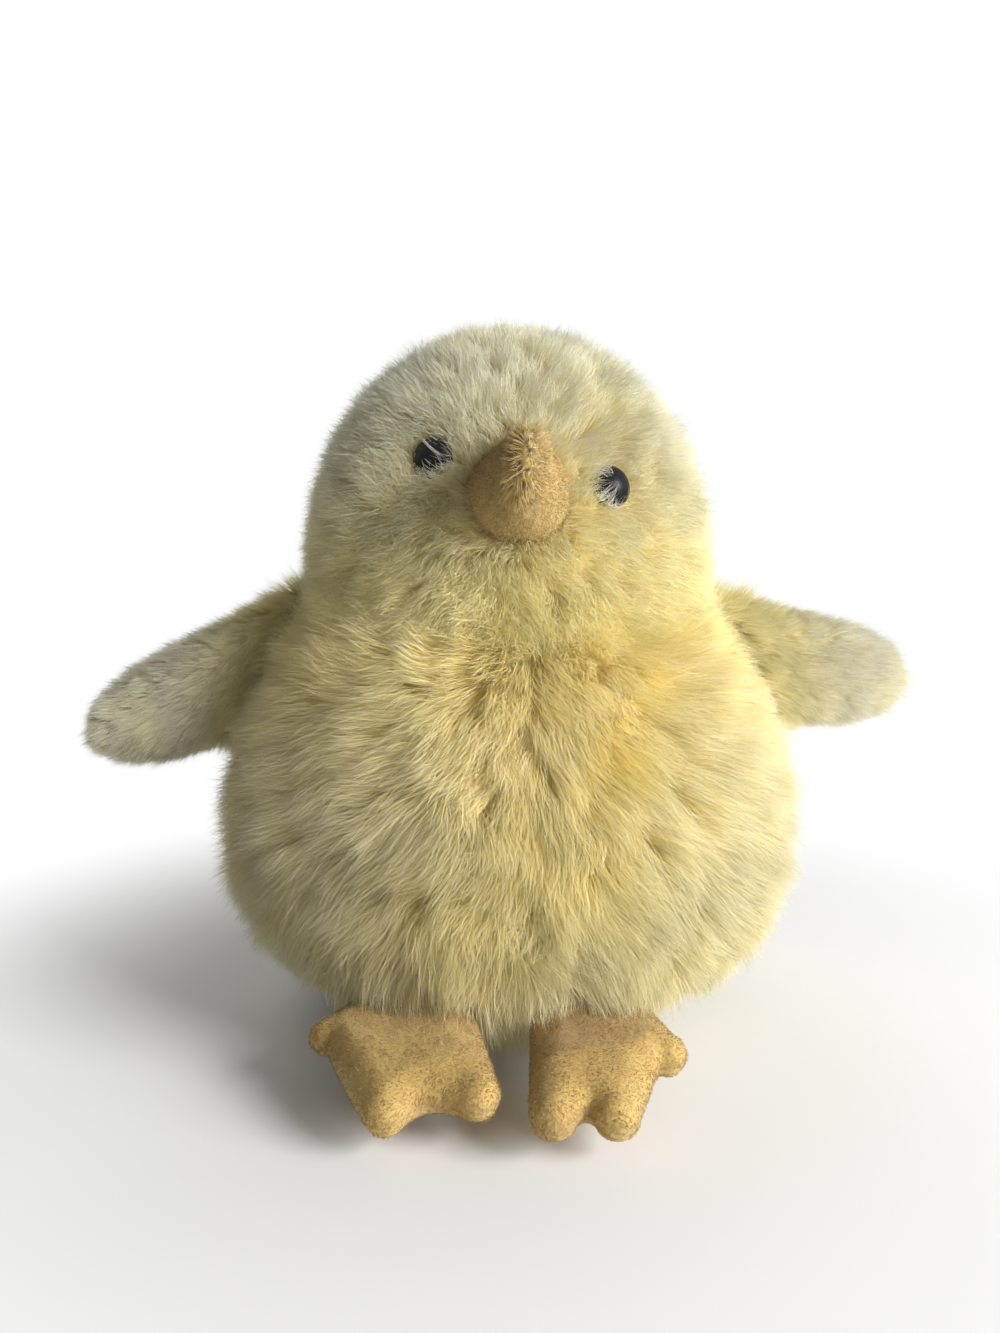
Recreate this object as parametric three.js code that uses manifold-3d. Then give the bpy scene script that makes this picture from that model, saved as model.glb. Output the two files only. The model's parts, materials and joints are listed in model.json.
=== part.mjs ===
// A sitting plush chick: pile-fabric covers sewn round soft filling, with sewn-on wings and feet.
// Millimetres, +Z up. The chick faces -Y, its own left is +X, and the origin is the middle of its seat.
import * as THREE from 'three';
import { mergeVertices } from 'three/addons/utils/BufferGeometryUtils.js';
import Module from 'manifold-3d';

const wasm = await Module();
wasm.setup();

// Gaps where two pieces meet
const seamGap = 0.3;
const fillGap = 0.3;
const pocketGap = 0.3;
const hingeGap = 0.4;

// Body: an egg with a shallow flat seat
const bellyRadius = 51.1;
const bellyHeight = 34.5;
const seatFlat = 0.5;
const seatFullness = 3;
const depthRatio = 0.94;
const bodyPile = 6;
const baseSeamHeight = 6.5;

// Head: an upright ellipsoid that meets the body at the neck seam
const headRadius = 36.3;
const headHalfHeight = 39.9;
const headHeight = 80.5;
const headPile = 4;
const neckHeight = 66.7;
const headRoll = 9;

// Woven backing that carries the pile
const backing = 1;

// Face: angles are seen from the middle of the head
const beakElevation = 17;
const beakRadius = 9;
const beakLength = 19;
const beakFullness = 1.5;
const beakHeightRatio = 0.9;
const beakPinch = 0.5;
const beakCover = 1.2;
const gussetMargin = 1;
const eyeAzimuth = 28.2;
const eyeElevation = 23.7;
const eyeRadius = 3.6;
const eyeDome = 3;
const shankRadius = 1.3;
const shankLength = 7;
const washerRadius = 5;
const washerThickness = 1.2;

// Wings: padded paddles on a slanted side seam
const wingLength = 34;
const wingHalfWidth = 11;
const wingTaper = 2;
const wingHalfThickness = 5;
const wingPeak = 0.45;
const wingTipFullness = 5;
const wingCover = 2.6;
const wingHem = 5;
const wingSeamTilt = 24;
const wingUnskew = 0.7;
const wingRootSquare = 2;

// Feet: webbed pads on the lower front seam
const footHalfThickness = 3;
const footRootHalfWidth = 8.5;
const footRamp = 9;
const footHem = 5;
const footEdge = 2.2;
const footCover = 1.2;
const footRootHeight = 12;
const footSlope = 15;
const toeRadius = 3.3;
const toeReaches = [14, 21, 23];
const toeArc = 75;
const webDepth = 0.76;

// Half thickness of a limb where it is sewn on
const limbRootHalf = 1.2;

// How each side was sewn: angles in degrees, toes from the outer one to the inner one
const left = {
  name: 'left', side: 1, wingRootHeight: 61.5, wingDroop: 8.5, wingSweep: 12, footSpread: 12.5,
  toeAngles: [45, -11, -36],
};
const right = {
  name: 'right', side: -1, wingRootHeight: 60.4, wingDroop: 23, wingSweep: -8, footSpread: 15.5,
  toeAngles: [62, -15, -53],
};

// Facets
const coverSegments = 32;
const coverSteps = 6;
const fillSegments = 20;
const fillSteps = 3;
const smallSegments = 14;
const smallSteps = 4;
const wingSegments = 14;
const wingSteps = 7;
const rootSteps = 2;
const edgeSteps = 2;
const curveSteps = 3;

// Room past a surface for a cutter, and the distance at which shared corners are welded
const overrun = 1;
const weld = 1e-4;
const reach = 2 * (bellyRadius + wingLength + headHeight);

const bodyCover = bodyPile + backing;
const headCover = headPile + backing;
const bodyDrop = bellyHeight + seatFlat;
const neckRadius = headRadius * Math.sqrt(1 - ((neckHeight - headHeight) / headHalfHeight) ** 2);
const bodyRise = (neckHeight - bellyHeight) / Math.sqrt(1 - (neckRadius / bellyRadius) ** 2);
const headCentre = new THREE.Vector3(0, 0, headHeight);
const up = new THREE.Vector3(0, 0, 1);

const cloth = (color, roughness) => new THREE.MeshStandardMaterial({ color, roughness, metalness: 0 });
const pile = cloth('#ece2ae', 0.95);
const crownPile = cloth('#efe8bd', 0.95);
const basePile = cloth('#e2d79c', 0.95);
const wingPile = cloth('#e6deae', 0.95);
const suede = cloth('#cfa65c', 0.9);
const beakSuede = cloth('#c79c5e', 0.9);
const filling = cloth('#f2f0ea', 1);
const eyeGloss = cloth('#0a0a0c', 0.12);
const washerPlastic = cloth('#dcdcd8', 0.45);

const degrees = THREE.MathUtils.degToRad;
const flat = (x, y) => new THREE.Vector2(x, y);

// A closed three.js geometry as a solid
function solidOf(geometry) {
  const bare = geometry.index ? geometry.toNonIndexed() : geometry.clone();
  bare.deleteAttribute('normal');
  bare.deleteAttribute('uv');
  const merged = mergeVertices(bare, weld);
  const corners = merged.index.array;
  const kept = [];
  for (let i = 0; i < corners.length; i += 3) {
    const [a, b, c] = corners.slice(i, i + 3);
    if (a !== b && b !== c && c !== a) kept.push(a, b, c);
  }
  return new wasm.Manifold(new wasm.Mesh({
    numProp: 3,
    vertProperties: merged.attributes.position.array,
    triVerts: new Uint32Array(kept),
  }));
}

// A solid as a named mesh
function piece(parent, name, solid, material) {
  const { vertProperties, triVerts } = solid.getMesh();
  const geometry = new THREE.BufferGeometry();
  geometry.setAttribute('position', new THREE.BufferAttribute(new Float32Array(vertProperties), 3));
  geometry.setIndex(new THREE.BufferAttribute(new Uint32Array(triVerts), 1));
  geometry.computeVertexNormals();
  const mesh = new THREE.Mesh(geometry, material);
  mesh.name = name;
  parent.add(mesh);
}

// A box between two corners, turned and moved by a matrix
function block(low, high, matrix = new THREE.Matrix4()) {
  const size = high.clone().sub(low);
  const middle = low.clone().add(high).multiplyScalar(0.5);
  const box = new THREE.BoxGeometry(size.x, size.y, size.z).translate(middle.x, middle.y, middle.z);
  return solidOf(box.applyMatrix4(matrix));
}

// Half spaces for cuts, each past the whole toy
const corner = (x, y, z) => new THREE.Vector3(x, y, z);
const above = (height) => block(corner(-reach, -reach, height), corner(reach, reach, reach));
const below = (height) => block(corner(-reach, -reach, -reach), corner(reach, reach, height));
const beyond = (side, offset, matrix) => (side > 0
  ? block(corner(offset, -reach, -reach), corner(reach, reach, reach), matrix)
  : block(corner(-reach, -reach, -reach), corner(-offset, reach, reach), matrix));

// A profile of radius and height turned about the Z axis
function turned(profile, segments) {
  return new THREE.LatheGeometry(profile, segments).rotateX(Math.PI / 2);
}

// Outline of the body egg, drawn in from the pile tips by an inset
function bodyRadiusAt(height, inset) {
  if (height >= bellyHeight) {
    return bellyRadius * Math.sqrt(1 - ((height - bellyHeight) / bodyRise) ** 2) - inset;
  }
  const drop = (bellyHeight - height) / (bodyDrop - inset);
  return (bellyRadius - inset) * (1 - drop ** seatFullness) ** (1 / seatFullness);
}

function bodyForm(inset, top, segments, steps) {
  const bottom = Math.max(0, inset - seatFlat);
  const lowest = Math.asin(((bellyHeight - bottom) / (bodyDrop - inset)) ** (seatFullness / 2));
  const profile = [flat(0, bottom)];
  for (let i = 0; i <= steps; i += 1) {
    const angle = lowest * (1 - i / steps);
    const radius = (bellyRadius - inset) * Math.cos(angle) ** (2 / seatFullness);
    profile.push(flat(radius, bellyHeight - (bodyDrop - inset) * Math.sin(angle) ** (2 / seatFullness)));
  }
  for (let i = 1; i <= steps; i += 1) {
    const height = bellyHeight + (top - bellyHeight) * Math.sin((i / steps) * (Math.PI / 2));
    profile.push(flat(bodyRadiusAt(height, inset), height));
  }
  profile.push(flat(0, top));
  return solidOf(turned(profile, segments).scale(1, depthRatio, 1));
}

function headForm(inset, bottom, segments, steps) {
  const half = headHalfHeight - inset;
  const lowest = Math.asin((bottom - headHeight) / half);
  const profile = [flat(0, bottom)];
  for (let i = 0; i <= 2 * steps; i += 1) {
    const angle = lowest + (Math.PI / 2 - lowest) * (i / (2 * steps));
    profile.push(flat((headRadius - inset) * Math.cos(angle), headHeight + half * Math.sin(angle)));
  }
  return solidOf(turned(profile, segments).scale(1, depthRatio, 1));
}

// Body: two side panels that meet at the front and back seams, and a base panel under them
function addBody(parent) {
  const top = neckHeight - seamGap / 2;
  const outer = bodyForm(0, top, coverSegments, coverSteps);
  const cover = outer.subtract(bodyForm(bodyCover, top + overrun, fillSegments, fillSteps));
  const sides = cover.intersect(above(baseSeamHeight + seamGap / 2));
  piece(parent, 'body_left_panel', sides.intersect(beyond(1, seamGap / 2)), pile);
  piece(parent, 'body_right_panel', sides.intersect(beyond(-1, seamGap / 2)), pile);
  piece(parent, 'base_panel', cover.intersect(below(baseSeamHeight - seamGap / 2)), basePile);
  piece(parent, 'body_stuffing', bodyForm(bodyCover + fillGap, top, fillSegments, fillSteps), filling);
}

// The rolled frame of the face, and a place on the head's surface with Z pointing outwards
const faceFrame = new THREE.Matrix4()
  .makeTranslation(headCentre.x, headCentre.y, headCentre.z)
  .multiply(new THREE.Matrix4().makeRotationY(degrees(headRoll)));

function faceDirection(azimuth, elevation) {
  const [turn, rise] = [degrees(azimuth), degrees(elevation)];
  return new THREE.Vector3(Math.sin(turn) * Math.cos(rise), -Math.cos(turn) * Math.cos(rise), Math.sin(rise))
    .applyAxisAngle(new THREE.Vector3(0, 1, 0), degrees(headRoll));
}

function surfaceDistance(direction, inset) {
  const across = headRadius - inset;
  return 1 / Math.hypot(
    direction.x / across,
    direction.y / (across * depthRatio),
    direction.z / (headHalfHeight - inset),
  );
}

function outwardFrame(direction, distance) {
  const upright = up.clone().applyAxisAngle(new THREE.Vector3(0, 1, 0), degrees(headRoll));
  const across = upright.cross(direction).normalize();
  const rise = direction.clone().cross(across);
  return new THREE.Matrix4()
    .makeBasis(across, rise, direction)
    .setPosition(direction.clone().multiplyScalar(distance).add(headCentre));
}

// Beak: a blunt cone along its own axis, pinched to an upright ridge at the tip, drawn in by an inset,
// its base sunk below the backing
const beakDirection = faceDirection(0, beakElevation);
const beakSeat = surfaceDistance(beakDirection, headCover);

function beakForm(inset) {
  const length = beakLength - inset;
  const profile = [flat(0, -headCover), flat(beakRadius - inset, -headCover)];
  for (let i = 0; i <= smallSteps; i += 1) {
    const along = Math.sin((i / smallSteps) * (Math.PI / 2));
    profile.push(flat((beakRadius - inset) * Math.sqrt(1 - along ** beakFullness), length * along));
  }
  const cone = turned(profile, smallSegments).scale(1, beakHeightRatio, 1);
  const spots = cone.attributes.position;
  for (let i = 0; i < spots.count; i += 1) {
    const along = Math.max(0, spots.getZ(i)) / length;
    spots.setX(i, spots.getX(i) * (1 - beakPinch * along));
  }
  return solidOf(cone.applyMatrix4(outwardFrame(beakDirection, beakSeat)));
}

function addBeak(parent, headBacking) {
  const cover = beakForm(0).subtract(beakForm(beakCover)).subtract(headBacking);
  piece(parent, 'beak_cover', cover, beakSuede);
  piece(parent, 'beak_stuffing', beakForm(beakCover + fillGap).subtract(headBacking), filling);
}

// Eye: a domed button on a shank, held by a washer behind the backing
const eyeSide = (side) => faceDirection(side * eyeAzimuth, eyeElevation);
const eyeFrame = (side) => outwardFrame(eyeSide(side), surfaceDistance(eyeSide(side), headPile));
const washerSeat = backing + washerRadius ** 2 / (2 * (headRadius * depthRatio - headCover)) + pocketGap;

function eyeButton() {
  const profile = [flat(0, -shankLength), flat(shankRadius, -shankLength), flat(shankRadius, pocketGap)];
  for (let i = 0; i <= smallSteps; i += 1) {
    const angle = (i / smallSteps) * (Math.PI / 2);
    profile.push(flat(eyeRadius * Math.cos(angle), pocketGap + eyeDome * Math.sin(angle)));
  }
  return turned(profile, smallSegments);
}

function washerRing() {
  const [low, high] = [-washerSeat - washerThickness, -washerSeat];
  const inner = shankRadius + pocketGap;
  const ring = [flat(inner, low), flat(washerRadius, low), flat(washerRadius, high), flat(inner, high)];
  return turned([...ring, ring[0]], smallSegments);
}

function plug(radius, low, high, side) {
  const profile = [flat(0, low), flat(radius, low), flat(radius, high), flat(0, high)];
  return solidOf(turned(profile, smallSegments).applyMatrix4(eyeFrame(side)));
}

function addEye(parent, { name, side }) {
  const frame = eyeFrame(side);
  piece(parent, `${name}_eye`, solidOf(eyeButton().applyMatrix4(frame)), eyeGloss);
  piece(parent, `${name}_eye_washer`, solidOf(washerRing().applyMatrix4(frame)), washerPlastic);
}

// Head: two side panels with a gusset over the crown, pocketed for the beak and the eyes
function addHead(parent) {
  const bottom = neckHeight + seamGap / 2;
  const shaft = shankRadius + pocketGap;
  const outside = headCover + eyeDome;
  let cover = headForm(0, bottom, coverSegments, coverSteps);
  cover = cover.subtract(headForm(headCover, bottom - overrun, fillSegments, fillSteps));
  const backingForm = (inset) => headForm(inset, bottom - overrun, coverSegments, coverSteps);
  cover = cover.subtract(beakForm(-pocketGap).subtract(backingForm(headPile)));
  let fill = headForm(headCover + fillGap, bottom, fillSegments, fillSteps);
  for (const { side } of [left, right]) {
    cover = cover.subtract(plug(eyeRadius + pocketGap, 0, outside, side));
    cover = cover.subtract(plug(shaft, -headCover, outside, side));
    fill = fill.subtract(plug(shaft, -shankLength - pocketGap, 0, side));
    const washerBed = -washerSeat - washerThickness - pocketGap;
    cover = cover.subtract(plug(washerRadius + pocketGap, washerBed, pocketGap - washerSeat, side));
    fill = fill.subtract(plug(washerRadius + pocketGap, washerBed, 0, side));
  }
  const halfWidth = beakRadius + gussetMargin;
  const stripFoot = headRadius * Math.sin(degrees(beakElevation));
  const strip = (grown) => block(
    corner(-halfWidth - grown, -reach, stripFoot - grown),
    corner(halfWidth + grown, reach, reach),
    faceFrame,
  );
  const sides = cover.subtract(strip(seamGap));
  piece(parent, 'crown_gusset', cover.intersect(strip(0)), crownPile);
  piece(parent, 'head_left_panel', sides.intersect(beyond(1, seamGap / 2, faceFrame)), pile);
  piece(parent, 'head_right_panel', sides.intersect(beyond(-1, seamGap / 2, faceFrame)), pile);
  piece(parent, 'head_stuffing', fill, filling);
  addBeak(parent, backingForm(headPile - pocketGap));
  addEye(parent, left);
  addEye(parent, right);
}

// Rings of points joined into a closed skin, with a point beyond each end
function loft(rings, first, last) {
  const count = rings[0].length;
  const points = [...rings.flat(), first, last];
  const [start, end] = [points.length - 2, points.length - 1];
  const faces = [];
  for (let i = 0; i < count; i += 1) {
    const next = (i + 1) % count;
    const base = (rings.length - 1) * count;
    faces.push(start, next, i, end, base + i, base + next);
    for (let j = 0; j < rings.length - 1; j += 1) {
      const [low, high] = [j * count, (j + 1) * count];
      faces.push(low + i, low + next, high + next, low + i, high + next, high + i);
    }
  }
  const geometry = new THREE.BufferGeometry().setFromPoints(points);
  return geometry.setIndex(faces);
}

// Wing form in its own frame: X along the wing, Y across it, Z out of its front or back.
// Its sections lie flat along the seam at the root, and turn round and square to the wing towards the tip.
function wingForm(skew, start, inset, rootHalf, roundRoot) {
  const length = wingLength - start - inset;
  const section = (along, halfWidth, halfThickness) => {
    const nearRoot = Math.min(1, Math.max(0, 1 - along / (wingUnskew * wingLength)));
    const lean = skew * nearRoot;
    const power = 2 / (2 + wingRootSquare * nearRoot);
    const rounded = (value) => Math.sign(value) * Math.abs(value) ** power;
    const ring = [];
    for (let i = 0; i < wingSegments; i += 1) {
      const angle = (i / wingSegments) * 2 * Math.PI;
      const across = (halfWidth / Math.cos(lean)) * rounded(Math.cos(angle));
      ring.push(new THREE.Vector3(
        along - across * Math.sin(lean),
        across * Math.cos(lean),
        halfThickness * rounded(Math.sin(angle)),
      ));
    }
    return ring;
  };
  const rings = [];
  for (let i = 1; roundRoot && i <= rootSteps; i += 1) {
    const angle = (i / (rootSteps + 1)) * (Math.PI / 2);
    rings.push(section(-rootHalf * Math.cos(angle), wingHalfWidth, rootHalf * Math.sin(angle)));
  }
  for (let i = 0; i < wingSteps; i += 1) {
    const share = Math.sin((i / wingSteps) * (Math.PI / 2));
    const round = Math.sqrt(1 - share ** wingTipFullness);
    const swell = Math.sin(Math.min(1, share / wingPeak) * (Math.PI / 2));
    const halfThickness = rootHalf + (wingHalfThickness - inset - rootHalf) * swell;
    const halfWidth = wingHalfWidth - inset - wingTaper * share;
    rings.push(section(start + length * share, halfWidth * round, halfThickness * round));
  }
  const first = rings[0].reduce((sum, point) => sum.add(point), new THREE.Vector3());
  const last = new THREE.Vector3(start + length, 0, 0);
  return solidOf(loft(rings, first.divideScalar(wingSegments), last));
}

// The side seam touches the body where the body's outline has the seam's slope
function wingRoot({ side, wingRootHeight }) {
  const slope = Math.tan(degrees(wingSeamTilt));
  const steep = (slope * bodyRise) / bellyRadius;
  const touchHeight = bellyHeight + (bodyRise * steep) / Math.hypot(1, steep);
  const stand = (limbRootHalf + hingeGap) / Math.cos(degrees(wingSeamTilt));
  const radius = bodyRadiusAt(touchHeight, 0) + stand - slope * (wingRootHeight - touchHeight);
  return new THREE.Vector3(side * radius, 0, wingRootHeight);
}

function addWing(parent, posture) {
  const { name, side, wingDroop, wingSweep } = posture;
  const droop = degrees(wingDroop);
  const along = new THREE.Vector3(side * Math.cos(droop), 0, -Math.sin(droop));
  const across = new THREE.Vector3(side * Math.sin(droop), 0, Math.cos(droop));
  const seam = new THREE.Vector3(-side * Math.sin(degrees(wingSeamTilt)), 0, Math.cos(degrees(wingSeamTilt)));
  const wing = new THREE.Group();
  wing.position.copy(wingRoot(posture));
  wing.quaternion.setFromAxisAngle(seam, side * degrees(wingSweep));
  wing.quaternion.multiply(new THREE.Quaternion().setFromRotationMatrix(
    new THREE.Matrix4().makeBasis(along, across, along.clone().cross(across)),
  ));
  parent.add(wing);
  const skew = degrees(wingSeamTilt + wingDroop);
  const inner = wingForm(skew, wingHem, wingCover, limbRootHalf / 2, false);
  const cover = wingForm(skew, 0, 0, limbRootHalf, true).subtract(inner);
  const front = above(seamGap / 2);
  const back = below(-seamGap / 2);
  piece(wing, `${name}_wing_front_panel`, cover.intersect(side > 0 ? front : back), wingPile);
  piece(wing, `${name}_wing_back_panel`, cover.intersect(side > 0 ? back : front), wingPile);
  const fill = wingForm(skew, wingHem + fillGap, wingCover + fillGap, limbRootHalf / 2 - fillGap, false);
  piece(wing, `${name}_wing_stuffing`, fill, filling);
}

// Plan of a foot from the root, with three round toes and webs between them
function footPlan(toeAngles, outerSign) {
  const plan = new THREE.Shape();
  const root = -limbRootHalf - footEdge;
  const spot = (angle, distance) => flat(outerSign * distance * Math.sin(angle), distance * Math.cos(angle));
  plan.moveTo(outerSign * footRootHalfWidth, root);
  toeAngles.forEach((toeAngle, i) => {
    const angle = degrees(toeAngle);
    const tip = spot(angle, toeReaches[i] - toeRadius);
    const middle = Math.PI / 2 - outerSign * angle;
    const swing = outerSign * degrees(toeArc);
    const entry = flat(Math.cos(middle - swing), Math.sin(middle - swing)).multiplyScalar(toeRadius).add(tip);
    if (i === 0) {
      plan.lineTo(entry.x, entry.y);
    } else {
      const meanReach = (toeReaches[i] + toeReaches[i - 1]) / 2;
      const web = spot(degrees((toeAngle + toeAngles[i - 1]) / 2), webDepth * meanReach);
      plan.quadraticCurveTo(web.x, web.y, entry.x, entry.y);
    }
    plan.absarc(tip.x, tip.y, toeRadius, middle - swing, middle + swing, outerSign < 0);
  });
  plan.lineTo(-outerSign * footRootHalfWidth, root);
  return plan;
}

// Foot form in its own frame: X across, Y from the root to the toes, Z up out of the foot
function footForm(plan, inset, hem) {
  const half = footHalfThickness - inset;
  const edge = footEdge - inset;
  const pad = new THREE.ExtrudeGeometry(plan, {
    depth: 2 * (half - edge), bevelThickness: edge, bevelSize: edge, bevelOffset: -footEdge,
    bevelSegments: edgeSteps, curveSegments: curveSteps, steps: 1,
  }).translate(0, 0, edge - half);
  const halfAt = (y) => limbRootHalf + (footHalfThickness - limbRootHalf) * (y / footRamp) - inset;
  const far = Math.max(...toeReaches) + overrun;
  const side = new THREE.Shape();
  side.moveTo(hem, halfAt(hem));
  side.lineTo(footRamp, half);
  side.lineTo(far, half + overrun);
  side.lineTo(far, -half - overrun);
  side.lineTo(footRamp, -half);
  side.lineTo(hem, -halfAt(hem));
  if (hem === 0) side.absarc(0, 0, limbRootHalf, -Math.PI / 2, -1.5 * Math.PI, true);
  const slice = new THREE.ExtrudeGeometry(side, {
    depth: reach, bevelEnabled: false, curveSegments: curveSteps,
  });
  const turn = new THREE.Matrix4().makeBasis(
    new THREE.Vector3(0, 1, 0), new THREE.Vector3(0, 0, 1), new THREE.Vector3(1, 0, 0),
  );
  return solidOf(pad).intersect(solidOf(slice.translate(0, 0, -reach / 2).applyMatrix4(turn)));
}

// Where the foot's seam meets the body, and which way the body faces there
function footRoot({ side, footSpread }) {
  const radius = bodyRadiusAt(footRootHeight, 0);
  const slope = (bodyRadiusAt(footRootHeight + weld, 0) - radius) / weld;
  const depth = Math.sqrt(radius ** 2 - footSpread ** 2);
  const place = new THREE.Vector3(side * footSpread, -depthRatio * depth, footRootHeight);
  const facing = new THREE.Vector3(side * footSpread, -depth / depthRatio, -radius * slope).normalize();
  return { place: place.addScaledVector(facing, limbRootHalf + hingeGap), facing };
}

function addFoot(parent, posture) {
  const { name, side, toeAngles } = posture;
  const { place, facing } = footRoot(posture);
  const ahead = new THREE.Vector3(facing.x, facing.y, 0).normalize();
  const slope = degrees(footSlope);
  const along = ahead.clone().multiplyScalar(Math.cos(slope)).addScaledVector(up, -Math.sin(slope));
  const rise = ahead.clone().multiplyScalar(Math.sin(slope)).addScaledVector(up, Math.cos(slope));
  const foot = new THREE.Group();
  foot.position.copy(place);
  const basis = new THREE.Matrix4().makeBasis(along.clone().cross(rise), along, rise);
  foot.quaternion.setFromRotationMatrix(basis);
  parent.add(foot);
  const plan = footPlan(toeAngles, -side);
  const cover = footForm(plan, 0, 0).subtract(footForm(plan, footCover, footHem));
  piece(foot, `${name}_foot_upper`, cover.intersect(above(seamGap / 2)), suede);
  piece(foot, `${name}_foot_sole`, cover.intersect(below(-seamGap / 2)), suede);
  piece(foot, `${name}_foot_stuffing`, footForm(plan, footCover + fillGap, footHem + fillGap), filling);
}

const chick = new THREE.Group();
addBody(chick);
addHead(chick);
for (const posture of [left, right]) {
  addWing(chick, posture);
  addFoot(chick, posture);
}

export default chick;
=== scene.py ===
import json
import math
from functools import reduce

import bmesh
import bpy
import numpy as np
from mathutils import Matrix, Vector, noise
from mathutils.geometry import delaunay_2d_cdt
from mathutils.kdtree import KDTree

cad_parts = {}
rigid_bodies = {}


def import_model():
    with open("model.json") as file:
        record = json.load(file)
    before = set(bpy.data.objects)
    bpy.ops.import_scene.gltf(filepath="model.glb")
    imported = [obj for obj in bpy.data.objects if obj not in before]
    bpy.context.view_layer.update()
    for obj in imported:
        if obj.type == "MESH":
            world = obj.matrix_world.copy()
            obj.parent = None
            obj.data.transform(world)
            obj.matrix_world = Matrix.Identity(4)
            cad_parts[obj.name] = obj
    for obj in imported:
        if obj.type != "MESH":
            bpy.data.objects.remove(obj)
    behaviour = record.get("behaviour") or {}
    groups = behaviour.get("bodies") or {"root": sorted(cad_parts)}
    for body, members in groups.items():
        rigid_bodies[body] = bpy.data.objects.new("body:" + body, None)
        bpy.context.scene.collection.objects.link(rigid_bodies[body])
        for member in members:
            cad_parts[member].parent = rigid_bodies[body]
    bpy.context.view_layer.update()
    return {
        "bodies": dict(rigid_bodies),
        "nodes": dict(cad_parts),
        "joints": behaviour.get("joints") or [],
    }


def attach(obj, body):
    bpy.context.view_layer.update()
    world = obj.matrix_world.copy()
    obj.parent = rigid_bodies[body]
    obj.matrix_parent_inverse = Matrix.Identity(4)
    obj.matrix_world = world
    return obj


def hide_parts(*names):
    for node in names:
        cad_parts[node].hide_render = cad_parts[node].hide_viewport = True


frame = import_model()
mm = 0.001
joints = {joint["name"]: joint for joint in frame["joints"]}
pieceCount = {}


# nodes and meshes

def put(tree, kind, *values, out=0, **settings):  # a node with its inputs in order
    node = tree.nodes.new(kind)
    for key, value in settings.items():
        setattr(node, key, value)
    for socket, value in zip([s for s in node.inputs if s.enabled], values):
        if isinstance(value, bpy.types.NodeSocket):
            tree.links.new(value, socket)
        elif value is not None:
            socket.default_value = value
    outputs = [s for s in node.outputs if s.enabled]
    return outputs if out is None else outputs[out]


def meshPiece(name, points, faces):  # points in millimetres
    mesh = bpy.data.meshes.new(name)
    mesh.from_pydata((np.asarray(points) * mm).tolist(), [], faces)
    mesh.update()
    mesh.shade_smooth()
    piece = bpy.data.objects.new(name, mesh)
    bpy.context.scene.collection.objects.link(piece)
    return piece


def unit(vectors):
    return vectors / np.maximum(np.linalg.norm(vectors, axis=-1, keepdims=True), 1e-9)


def alongCloth(vectors, normals):  # the directions of the vectors, laid in the cloth
    return unit(vectors - normals * (vectors * normals).sum(-1, keepdims=True))


def blend(first, second, share):
    return first + (second - first) * share


def bounded(values):
    return np.clip(values, 0, 1)


def axesOf(place):  # turn and origin of a frame
    return np.array(place.to_3x3()), np.array(place.translation)


def gridFaces(rows, columns, closed=False):
    faces = []
    for row in range(rows - 1):
        for column in range(columns if closed else columns - 1):
            beside = (column + 1) % columns
            faces.append([row * columns + column, row * columns + beside,
                          (row + 1) * columns + beside, (row + 1) * columns + column])
    return faces


def ringPoints(wide, tall, height, angles):  # one ring about the Z axis for each height
    return np.stack([np.outer(wide, np.cos(angles)), np.outer(tall, np.sin(angles)),
                     np.outer(height, np.ones(len(angles)))], -1).reshape(-1, 3)


def shell(points, normals, faces, thickness):  # a sheet of cloth with its back and its cut edges
    count = len(points)
    sides = {(a, b) for face in faces for a, b in zip(face, face[1:] + face[:1])}
    edges = [[b, a, a + count, b + count] for a, b in sides if (b, a) not in sides]
    back = [[i + count for i in reversed(face)] for face in faces]
    return np.vstack([points, points - normals * thickness]), faces + back + sorted(edges)


def keepValues(piece, name, values):
    kind = "FLOAT_VECTOR" if values.ndim == 2 else "FLOAT"
    attribute = piece.data.attributes.new(name, kind, "POINT")
    attribute.data.foreach_set("vector" if values.ndim == 2 else "value", values.astype(np.float32).ravel())


def wear(piece, body, node):  # what a finished piece stands for and moves with
    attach(piece, body)
    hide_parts(node)
    piece.data.calc_loop_triangles()
    pieceCount[piece.name] = len(piece.data.loop_triangles)


# pile: strands that rise from the cloth, lean the way they were combed and gather into locks

strandShape = {
    "lockSeed": 11, "ownSeed": 23, "locksPerSpacing": 4.0, "drift": 4.0, "ownLength": 0.22,
    "leastLean": 0.1, "rootLean": 0.3, "gatherPower": 1.5, "frizzShift": 0.004, "tipMerge": 0.0001,
    "lockHold": 0.6, "lockHoldSpread": 0.5, "ownHold": 0.65, "ownHoldSpread": 0.35,
}


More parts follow.
